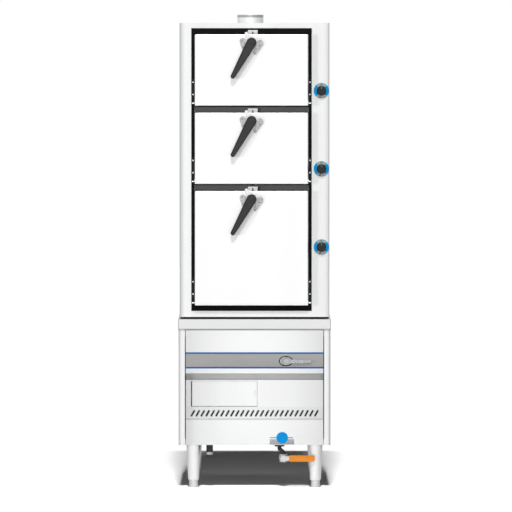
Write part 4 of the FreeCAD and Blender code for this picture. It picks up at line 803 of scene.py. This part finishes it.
def make_dial_print(tier):
    """Blue fields left and right, a teal mark on top and a small green one at the foot."""
    low, high = cut_box("knob_dials", tier)
    centre = (low + high) / 2
    radius = (high.x - low.x) / 2
    middle = (centre.x, low.y - 0.2 * MM, centre.z)
    plate = add_disc(f"dial_{tier}_print", middle, radius, 0.8 * MM, sides=96)
    edit(plate)
    pick_front(plate)
    inset(DIAL_RIM)
    inset(radius - DIAL_RIM - DIAL_INNER)
    inset(3.0 * MM)
    leave(plate)
    for face in plate.data.polygons:
        dx, dz = face.center.x - centre.x, face.center.z - centre.z
        reach = math.hypot(dx, dz)
        if reach < DIAL_INNER:
            face.material_index = 0
        elif math.atan2(abs(dz), abs(dx)) < DIAL_HALF_BLUE:
            face.material_index = 1
        elif reach > radius - DIAL_RIM - 0.2 * MM:
            face.material_index = 2
        elif math.atan2(abs(dx), dz) < DIAL_MARK_HALF:
            face.material_index = 3
        elif abs(math.atan2(dx, dz) - DIAL_STOP_AT) < DIAL_STOP_HALF:
            face.material_index = 4
    dress(plate, "cabinet", "dial_plate",
          dial_silver, blue_print, dial_rim, teal_print, green_print)


def make_knob_cap(tier):
    """A domed cap on the front of the faceted knob, and its pointer mark."""
    low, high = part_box(f"knob_{tier}")
    x, z = (low.x + high.x) / 2, (low.z + high.z) / 2
    cap = add_disc(f"knob_{tier}_cap", (x, low.y + 2 * MM, z), CAP_RADIUS, 3.8 * MM)
    press_front(cap, (2.2, 0.6), (0.8, -0.8), (3.5, 0.4))
    mark = add_block(f"knob_{tier}_mark", (x - 0.9 * MM, low.y - 0.1 * MM, z + 4 * MM),
                     (x + 0.9 * MM, low.y + 2 * MM, z + 12 * MM))
    soften(mark, 0.4 * MM)
    dress(cap, f"valve_knob_{tier}", "black_plastic", knob_plastic)
    dress(mark, f"valve_knob_{tier}", "black_plastic", dial_silver)


def make_knob_skirt(tier):
    """The wide dark flange at the foot of the knob."""
    low, high = cut_box("knob_dials", tier)
    middle = ((low.x + high.x) / 2, low.y - 2.6 * MM, (low.z + high.z) / 2)
    skirt = add_disc(f"knob_{tier}_skirt", middle, SKIRT_RADIUS, 4 * MM)
    press_front(skirt, (1.5, 0.6), (1.2, 0.6))
    soften(skirt, 0.4 * MM)
    dress(skirt, f"valve_knob_{tier}", "black_plastic", knob_plastic)


# Latches

LEVER_TILT = math.radians(29)
LEVER_TOP = 20 * MM
LEVER_TIP = 9 * MM
LEVER_REACH = 154 * MM
LEVER_DEPTH = 20 * MM


def make_lever(tier):
    """The black lever: a rolled rim round a sunken, hatched grip."""
    pivot = joint_anchor(f"latch_{tier}_turn")
    face_y = low_of(f"latch_{tier}_lever").y
    back_y = face_y + LEVER_DEPTH
    name = f"latch_{tier}_grip"
    lever = tapered_bar(name, pivot, LEVER_TOP, LEVER_REACH, LEVER_TIP, face_y, back_y, 56)
    edit(lever)
    pick_edges(lever, lambda p: p.y < face_y + 1e-5)
    bevel_edges(3.0 * MM, 4)
    pick_front(lever, 0.99)
    inset(1.2 * MM)
    inset(0.7 * MM, -1.1 * MM)
    leave(lever)
    hub = add_disc(f"latch_{tier}_hub", (pivot.x, back_y + 3 * MM, pivot.z), 14 * MM, 6 * MM)
    cap = add_disc(f"latch_{tier}_cap", (pivot.x, face_y + 1.4 * MM, pivot.z), 9.5 * MM, 2.2 * MM)
    edit(cap)
    pick_edges(cap, lambda p: p.y < face_y + 0.6 * MM)
    bevel_edges(0.8 * MM, 2)
    leave(cap)
    lever = join(name, [lever, hub, cap])
    paint(lever, 1, lambda c, n: n.y < -0.99 and c.y < face_y + 2 * MM)
    turn(lever, pivot, "Y", LEVER_TILT)
    dress(lever, f"latch_{tier}", "black_plastic", lever_rim, lever_grip)
    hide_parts(f"latch_{tier}_lever")


def make_screw(name, centre, radius, height, axis="y"):
    """A pan head screw with a sunken drive, its head towards -Y, or +X when it stands on x."""
    screw = add_disc(name, centre, radius, height, axis, sides=24)
    edit(screw)
    pick_faces(screw, lambda c, n: n.y < -0.9 if axis == "y" else n.x > 0.9)
    inset(radius * 0.18, height * 0.25)
    inset(radius * 0.32)
    inset(radius * 0.1, -height * 0.5)
    # The drive's faces take the second material, painted shade in the recess.
    for face in bmesh.from_edit_mesh(screw.data).faces:
        if face.select:
            face.material_index = 1
    return leave(screw)


# Lobes of the latch plate, in mm and degrees: top from the lever's pivot, top radius,
# tip radius, length, lean. Then the screws from the pivot.
LATCH_LOBES = (
    ((-35, 6), 13, 9.5, 34, -12),
    ((34, -3), 14, 7.5, 42, 28),
    ((0, 0), 21, 21, 3, 0),
)
LATCH_SCREWS = ((-38, 9), (-33, -17), (33, -13), (14, -42))


def make_latch_plates():
    """The cast plate behind each lever with its four screws, modelled once for the top door."""
    pivot = joint_anchor("latch_upper_turn")
    face_y, back_y = low_of("latch_upper_plate").y, high_of("latch_upper_plate").y
    plate = None
    for number, ((x, z), top, tip, length, lean) in enumerate(LATCH_LOBES):
        start = Vector((pivot.x + x * MM, pivot.y, pivot.z + z * MM))
        lobe = tapered_bar(f"latch_lobe_{number}", start, top * MM, length * MM, tip * MM,
                           face_y, back_y)
        turn(lobe, start, "Y", math.radians(lean))
        plate = combine(plate, lobe, "UNION") if plate else lobe
    soften(plate, 0.9 * MM, 3)
    screws = [
        make_screw(f"latch_screw_{number}", (pivot.x + x * MM, face_y - 0.6 * MM, pivot.z + z * MM),
                   3.4 * MM, 1.6 * MM)
        for number, (x, z) in enumerate(LATCH_SCREWS)
    ]
    screws = join("latch_screws", screws)
    for tier in TIERS:
        shift = joint_anchor(f"latch_{tier}_turn") - pivot
        base = copy_piece(plate, f"latch_{tier}_base", shift)
        dress(base, f"door_{tier}", "chrome_trim", chrome)
        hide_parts(f"latch_{tier}_plate")
        held = copy_piece(screws, f"latch_{tier}_screws", shift)
        dress(held, f"door_{tier}", "dark_steel", screw_steel, recess_shade)
    bpy.data.objects.remove(plate)
    bpy.data.objects.remove(screws)


# Doors

def make_door_seal(tier):
    """A silicone ring on the back of the door, round its inner pan."""
    low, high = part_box(f"door_{tier}_outer")
    back = high.y
    outer, inner = 5 * MM, 13.5 * MM
    seal = add_block(f"door_{tier}_seal", (low.x + outer, back, low.z + outer),
                     (high.x - outer, back + 5.5 * MM, high.z - outer))
    hollow = add_block("seal_hollow", (low.x + inner, back - MM, low.z + inner),
                       (high.x - inner, back + 8 * MM, high.z - inner))
    combine(seal, hollow, "DIFFERENCE")
    edit(seal)
    pick_edges(seal, lambda p: p.y > back + 5 * MM)
    bevel_edges(1.6 * MM, 3)
    leave(seal)
    dress(seal, f"door_{tier}", "black_rubber", silicone)


# Gas tap on the control strip

RING_OUTER_X, RING_OUTER_Z = 28.5 * MM, 20.5 * MM
RING_INNER_X, RING_INNER_Z = 24.5 * MM, 16.5 * MM
FLANGE_X, FLANGE_Z = 26.4 * MM, 19.2 * MM
STEM_HOLE_RADIUS = 13.6 * MM


def make_gas_ring(tap):
    """The plain oval black ring round the tap."""
    face_y = low_of("control_strip").y - 2.2 * MM
    centre = Vector((tap.x, face_y, tap.z + 0.9 * MM))
    clear_selection()
    bpy.ops.mesh.primitive_circle_add(
        vertices=96, radius=RING_OUTER_X, location=centre, rotation=TURN_TO["y"],
        fill_type="NOTHING")
    ring = take_new("gas_tap_ring")
    flatten(ring, centre, RING_OUTER_Z / RING_OUTER_X)
    edit(ring)
    bpy.ops.mesh.select_mode(type="EDGE")
    bpy.ops.mesh.select_all(action="SELECT")
    bpy.ops.mesh.extrude_edges_move()
    shrink = (RING_INNER_X / RING_OUTER_X, 1, RING_INNER_Z / RING_OUTER_Z)
    bpy.ops.transform.resize(value=shrink, center_override=tuple(centre))
    bpy.ops.mesh.select_all(action="SELECT")
    bpy.ops.mesh.normals_make_consistent(inside=False)
    mesh = bmesh.from_edit_mesh(ring.data)
    mesh.faces.ensure_lookup_table()
    if mesh.faces[0].normal.y > 0:
        bpy.ops.mesh.flip_normals()
    leave(ring)
    apply_change(ring, "SOLIDIFY", thickness=2.6 * MM, offset=-1)
    soften(ring, 0.8 * MM, 3)
    dress(ring, "cabinet", "black_rubber", ring_black)


def make_gas_flange(tap):
    """The mottled plate that fills the strip's hole round the tap's stem, with two screws."""
    face_y = low_of("control_strip").y - 1.4 * MM
    depth = 2.6 * MM
    middle = (tap.x, face_y + depth / 2, tap.z)
    flange = add_disc("gas_tap_flange", middle, FLANGE_X, depth, sides=72)
    flatten(flange, middle, FLANGE_Z / FLANGE_X)
    combine(flange, add_disc("stem_hole", middle, STEM_HOLE_RADIUS, 20 * MM), "DIFFERENCE")
    soften(flange, 0.5 * MM)
    screws = [make_screw(f"flange_screw_{side}", (tap.x + side * 19 * MM, face_y - 0.4 * MM, tap.z),
                         2.4 * MM, 1.2 * MM) for side in (-1, 1)]
    screws = join("gas_tap_flange_screws", screws)
    dress(flange, "cabinet", "valve_nickel", nickel)
    dress(screws, "cabinet", "dark_steel", screw_steel, recess_shade)


# Blue and grey mark on the kick panel, above the drain

MARK_X, MARK_Z = 111 * MM, 200 * MM
MARK_DISC_RADIUS = 23.2 * MM
BAR_LEFT, BAR_RIGHT = 61 * MM, 159 * MM
BAR_FOOT, BAR_TOP = 172.5 * MM, 194 * MM
WING_LEFT, WING_RIGHT = 62 * MM, 155 * MM
WING_HALF = 2.6 * MM


def make_drain_mark():
    """A grey bar, thin blue wings and a plain blue disc."""
    face_y = low_of("kick_panel").y
    bar = add_block("drain_mark_bar", (BAR_LEFT, face_y - 0.3 * MM, BAR_FOOT),
                    (BAR_RIGHT, face_y, BAR_TOP))
    soften(bar, 0.12 * MM)
    wings = add_block("drain_mark_wings", (WING_LEFT, face_y - 0.5 * MM, MARK_Z - WING_HALF),
                      (WING_RIGHT, face_y, MARK_Z + WING_HALF))
    edit(wings)
    for side, x in ((-1, WING_LEFT), (1, WING_RIGHT)):
        pick_faces(wings, lambda c, n: n.x * side > 0.9)
        bpy.ops.transform.resize(value=(1, 1, 0.7), center_override=(x, face_y, MARK_Z))
    leave(wings)
    disc = add_disc("drain_mark_disc", (MARK_X, face_y - 0.45 * MM, MARK_Z), MARK_DISC_RADIUS,
                    0.9 * MM, sides=72)
    press_front(disc, (0.8, 0.15), (1.6, -0.15))
    dress(bar, "cabinet", "dial_plate", label_grey)
    dress(wings, "cabinet", "dial_plate", blue_sticker)
    dress(disc, "cabinet", "dial_plate", blue_sticker)


# Hinges and base panels

HINGE_HEAD_OUT = 6.6 * MM
HINGE_HEAD_DROP = 4 * MM
HINGE_HEAD_RADIUS = 2.3 * MM


def make_hinge_heads():
    """The bright heads of the hinge pins beside each door, one modelled and the rest copied."""
    y = low_of("hinge_brackets").y + MM
    places = []
    for tier in TIERS:
        z = joint_anchor(f"door_{tier}_swing").z - HINGE_HEAD_DROP
        low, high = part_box(f"door_{tier}_outer")
        places.append(Vector((low.x - HINGE_HEAD_OUT, y, z)))
        places.append(Vector((high.x + HINGE_HEAD_OUT, y, z)))
    head = add_disc("hinge_head", places[0], HINGE_HEAD_RADIUS, 12 * MM, "x", 24)
    soften(head, 0.8 * MM)
    heads = [head]
    for number, place in enumerate(places[1:]):
        heads.append(copy_piece(head, f"hinge_head_{number}", place - places[0]))
    dress(join("hinge_heads", heads), "cabinet", "hinge_steel", pin_bright)


def make_finger_cup():
    """A shallow pressed cup behind the hatch's finger slot."""
    low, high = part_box("hatch_door")
    back = high.y
    x, z = high.x - 6.5 * MM, (low.z + high.z) / 2
    cup = add_block("hatch_finger_cup", (x - 8.5 * MM, back, z - 18 * MM),
                    (x + 7.5 * MM, back + 4 * MM, z + 18 * MM))
    edit(cup)
    pick_front(cup)
    inset(1.4 * MM)
    push((0, 1.4 * MM, 0))
    bpy.ops.transform.resize(value=(0.85, 1, 0.9), center_override=(x, back, z))
    leave(cup)
    soften(cup, 0.5 * MM, 2, 30)
    dress(cup, "hatch", "satin_steel", steel_panel)


def make_hatch_stop():
    """The folded lip behind the opening that the hatch closes against, at its top and right."""
    low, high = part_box("hatch_door")
    back = high.y
    reach, lap = 5 * MM, 6 * MM
    top = add_block("hatch_stop", (low.x + 8 * MM, back, high.z - lap),
                    (high.x + reach, back + 3 * MM, high.z + reach))
    side = add_block("hatch_stop_side", (high.x - 1.5 * MM, back + 4.2 * MM, low.z),
                     (high.x + reach, back + 6 * MM, high.z))
    for bar in (top, side):
        soften(bar, 0.5 * MM)
    dress(join("hatch_stop", [top, side]), "cabinet", "satin_steel", steel_stop)


# The slots in the hatch frame: the first one's middle stands off the frame's left edge and
# foot by a margin and a rise, the last one off its right edge by the end.
VENT_SHEET = 2 * MM
VENT_LEAN = math.radians(29)
VENT_MARGIN = 28.5 * MM
VENT_END = 27.5 * MM
VENT_RISE = 22 * MM
VENT_RUN = 21.5 * MM
VENT_RADIUS = 4.5 * MM
VENT_COUNT = 26


def make_vent_baffle():
    """Painted shade: a near-black baffle behind the vent slots, a tray with a folded edge, so the
    slots read dark.
    """
    low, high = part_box("hatch_frame")
    baffle = add_block("vent_baffle", (low.x + 8 * MM, high.y, low.z + 6 * MM),
                       (high.x - 8 * MM, high.y + 4 * MM, low.z + 40 * MM))
    edit(baffle)
    pick_front(baffle)
    inset(1.2 * MM)
    push((0, 3 * MM, 0))
    leave(baffle)
    soften(baffle, 0.4 * MM)
    dress(baffle, "cabinet", "black_paint", slot_shade_black)


def make_vent_slot_shades():
    """Painted shade: near-black rims round the slanted vent slots, one modelled and the rest
    copied, so each slot reads as a dark opening.
    """
    low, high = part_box("hatch_frame")
    face = high.y - VENT_SHEET
    middle = Vector((low.x + VENT_MARGIN, 0, low.z + VENT_RISE))
    top = middle + Vector((0, 0, VENT_RUN / 2))
    rim = tapered_bar("vent_slot_shade", top, VENT_RADIUS, VENT_RUN, VENT_RADIUS,
                      face - 0.3 * MM, face + 1.7 * MM, 16)
    press_front(rim, (0.8, 0), (0.4, -1.5))
    turn(rim, middle, "Y", VENT_LEAN)
    pitch = (high.x - low.x - VENT_MARGIN - VENT_END) / (VENT_COUNT - 1)
    rims = [rim]
    for number in range(1, VENT_COUNT):
        rims.append(copy_piece(rim, f"vent_slot_shade_{number}", (number * pitch, 0, 0)))
    dress(join("vent_slot_shades", rims), "cabinet", "black_paint", slot_shade_black)


def make_sleeve():
    """The orange vinyl sleeve on the drain lever, round at its free end, with a sunken panel."""
    low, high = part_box("drain_lever_sleeve")
    sleeve = add_block("drain_sleeve_grip", low, high)
    edit(sleeve)
    pick_rods(sleeve, lambda middle: middle.x > high.x - MM)
    bevel_edges(11 * MM, 8)
    pick_rods(sleeve, lambda middle: middle.x < low.x + MM)
    bevel_edges(3.5 * MM, 4)
    pick_front(sleeve, 0.99)
    inset(3.2 * MM)
    inset(0.8 * MM, -0.6 * MM)
    leave(sleeve)
    soften(sleeve, 1.2 * MM, 3, 50)
    dress(sleeve, "drain_tap", "orange_sleeve", orange_vinyl)
    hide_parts("drain_lever_sleeve")


REAR_COLUMNS = 4
REAR_ROWS = 7
REAR_SCREW_IN = 18 * MM
HALF_TURN = math.radians(180)


def make_rear_cover():
    """The rear sheet with a pressed bead and a row of screws round its edge."""
    low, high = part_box("rear_cover")
    sheet_back, edge = high.y - 1.0 * MM, 0.6 * MM
    cover = add_block("rear_cover_sheet", (low.x + edge, low.y, low.z + edge),
                      (high.x - edge, sheet_back, high.z - edge))
    edit(cover)
    pick_faces(cover, lambda c, n: n.y > 0.9)
    inset(46 * MM)
    inset(2 * MM, 0.7 * MM)
    inset(5 * MM)
    inset(2 * MM, -0.7 * MM)
    leave(cover)
    dress(cover, "cabinet", "satin_steel", steel_panel)
    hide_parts("rear_cover")
    screw = make_screw("rear_screw", (0, 0, 0), 4 * MM, 0.9 * MM)
    turn(screw, (0, 0, 0), "Z", HALF_TURN)
    screws = []
    start = low + Vector((REAR_SCREW_IN, 0, REAR_SCREW_IN))
    span = high - low - Vector((REAR_SCREW_IN, 0, REAR_SCREW_IN)) * 2
    for column in range(REAR_COLUMNS):
        for row in range(REAR_ROWS):
            if 0 < column < REAR_COLUMNS - 1 and 0 < row < REAR_ROWS - 1:
                continue
            place = (start.x + span.x * column / (REAR_COLUMNS - 1), sheet_back + 0.3 * MM,
                     start.z + span.z * row / (REAR_ROWS - 1))
            screws.append(copy_piece(screw, f"rear_screw_{column}_{row}", place))
    bpy.data.objects.remove(screw)
    dress(join("rear_cover_screws", screws), "cabinet", "dark_steel", foot_chrome, recess_shade)


def make_side_screws():
    """Button heads that hold the base's side sheets to its frame, on both sides."""
    low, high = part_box("base_shell")
    screw = make_screw("side_screw", (0, 0, 0), 4 * MM, 1.4 * MM, "x")
    twin = copy_piece(screw, "side_screw_left", (0, 0, 0))
    turn(twin, (0, 0, 0), "Z", HALF_TURN)
    screws = []
    for side, pattern, x in ((1, screw, high.x + 0.5 * MM), (-1, twin, low.x - 0.5 * MM)):
        for row in range(2):
            for column in range(4):
                y = low.y + 50 * MM + (high.y - low.y - 80 * MM) * column / 3
                z = low.z + 22 * MM + (high.z - low.z - 60 * MM) * row
                screws.append(copy_piece(pattern, f"side_screw_{side}_{row}_{column}", (x, y, z)))
    bpy.data.objects.remove(screw)
    bpy.data.objects.remove(twin)
    dress(join("base_side_screws", screws), "cabinet", "dark_steel", foot_chrome, recess_shade)


# Camera, floor and light

# The size of a picture point on the doors, the picture row of the floor under them, and half
# the picture's width in points. The eye stands far off, so the view has little perspective.
PIXEL = 4.0 * MM
FLOOR_ROW = 488.5
MIDDLE = 256
SENSOR = 36
REACH = 30
EYE_X = 6 * MM
EYE_Z = 1.75
STUDIO_SIDE = 0.7
STUDIO_FRONT = 1.0
STUDIO_LIGHT = 0.01
FLOOR_SIZE = 60
FLOOR_SEEN = 2.12
FLOOR_GIVEN = 0.3

# The key light is four lamps side by side, high in front. The others are low and soft:
# name, azimuth, height, strength, spread.
KEY_FAN = (-2, -0.7, 0.7, 2)
KEY_HEIGHT = 43.6
KEY_LIGHT = 2.15
KEY_SPREAD = 2
LOW_LAMPS = (
    ("left_front", -49, 0.2, 1.95, 5),
    ("left_side", -112, 0.3, 0.9, 2.5),
    ("right_side", 112, 0.3, 0.9, 2.5),
    ("behind", 180, 0.3, 0.6, 2.5),
)


def make_camera():
    data = bpy.data.cameras.new("camera")
    middle = (FLOOR_ROW - MIDDLE) * PIXEL
    away = math.hypot(REACH, EYE_Z - middle)
    data.lens = SENSOR * away / (2 * MIDDLE * PIXEL)
    data.sensor_width = SENSOR
    data.clip_end = 100
    camera = bpy.data.objects.new("camera", data)
    bpy.context.scene.collection.objects.link(camera)
    camera.location = (EYE_X, low_of("door_upper_outer").y - REACH, EYE_Z)
    camera.rotation_euler = (math.radians(90) - math.atan2(EYE_Z - middle, REACH), 0, 0)
    bpy.context.scene.camera = camera


def make_world():
    """A plain studio: white to the eye and in mirrors, dimmer there at the sides and back."""
    world = bpy.data.worlds.new("studio")
    bpy.context.scene.world = world
    world.use_nodes = True
    path = add_node(world, "ShaderNodeLightPath")
    coords = add_node(world, "ShaderNodeTexCoord")
    heading = add_node(world, "ShaderNodeSeparateXYZ")
    link(world, coords.outputs["Generated"], heading.inputs["Vector"])
    front = remap(world, heading.outputs["Y"], STUDIO_FRONT, STUDIO_SIDE, -0.9, -0.2)
    top = remap(world, heading.outputs["Z"], 0.0, 1.0 - STUDIO_SIDE, 0.2, 0.8)
    mirrored = math_node(world, "MINIMUM", math_node(world, "ADD", front, top), STUDIO_FRONT)
    direct = below(world, path.outputs["Diffuse Depth"], 0.5)
    glossy = times(world, direct, path.outputs["Is Glossy Ray"])
    seen = math_node(world, "MAXIMUM", path.outputs["Is Camera Ray"],
                     path.outputs["Is Transmission Ray"])
    bright = math_node(world, "MAXIMUM", seen, times(world, mirrored, glossy))
    ground = world.node_tree.nodes["Background"]
    ground.inputs["Color"].default_value = (1, 1, 1, 1)
    link(world, math_node(world, "MAXIMUM", bright, STUDIO_LIGHT), ground.inputs["Strength"])


def make_floor():
    """A wide pale floor: white to the eye, greyer in what it gives back to the object."""
    clear_selection()
    bpy.ops.mesh.primitive_plane_add(size=FLOOR_SIZE, location=(0, 0, 0))
    floor = bpy.context.active_object
    floor.name = "floor"
    made = bpy.data.materials.new("floor_pale")
    made.use_nodes = True
    made.node_tree.nodes.remove(shader_of(made))
    path = add_node(made, "ShaderNodeLightPath")
    direct = below(made, path.outputs["Diffuse Depth"], 0.5)
    tone = math_node(made, "MAXIMUM", times(made, direct, FLOOR_SEEN), FLOOR_GIVEN)
    chalk = add_node(made, "ShaderNodeBsdfDiffuse")
    link(made, tone, chalk.inputs["Color"])
    link(made, chalk.outputs[0], made.node_tree.nodes["Material Output"].inputs["Surface"])
    floor.data.materials.append(made)


def add_sun(name, azimuth, elevation, strength, spread, mirrored=True):
    """A distant lamp: azimuth 0 shines straight at the doors, positive from the right."""
    data = bpy.data.lights.new(name, "SUN")
    data.energy = strength
    data.angle = math.radians(spread)
    lamp = bpy.data.objects.new(name, data)
    bpy.context.scene.collection.objects.link(lamp)
    a, e = math.radians(azimuth), math.radians(elevation)
    away = Vector((math.sin(a) * math.cos(e), -math.cos(a) * math.cos(e), math.sin(e)))
    lamp.rotation_mode = "QUATERNION"
    lamp.rotation_quaternion = away.to_track_quat("Z", "Y")
    lamp.visible_glossy = mirrored


dress_nodes()
for tier in TIERS:
    make_dial_print(tier)
    make_knob_cap(tier)
    make_knob_skirt(tier)
    make_lever(tier)
    make_door_seal(tier)
make_latch_plates()
tap_place = joint_anchor("gas_lever_turn")
make_gas_ring(tap_place)
make_gas_flange(tap_place)
make_drain_mark()
make_hinge_heads()
make_finger_cup()
make_hatch_stop()
make_vent_baffle()
make_vent_slot_shades()
make_sleeve()
make_rear_cover()
make_side_screws()
make_camera()
make_world()
make_floor()
for number, azimuth in enumerate(KEY_FAN):
    add_sun(f"key_{number}", azimuth, KEY_HEIGHT, KEY_LIGHT / len(KEY_FAN), KEY_SPREAD)
for name, azimuth, height, strength, spread in LOW_LAMPS:
    add_sun(name, azimuth, height, strength, spread, mirrored=False)

bpy.context.scene.view_settings.view_transform = "Standard"
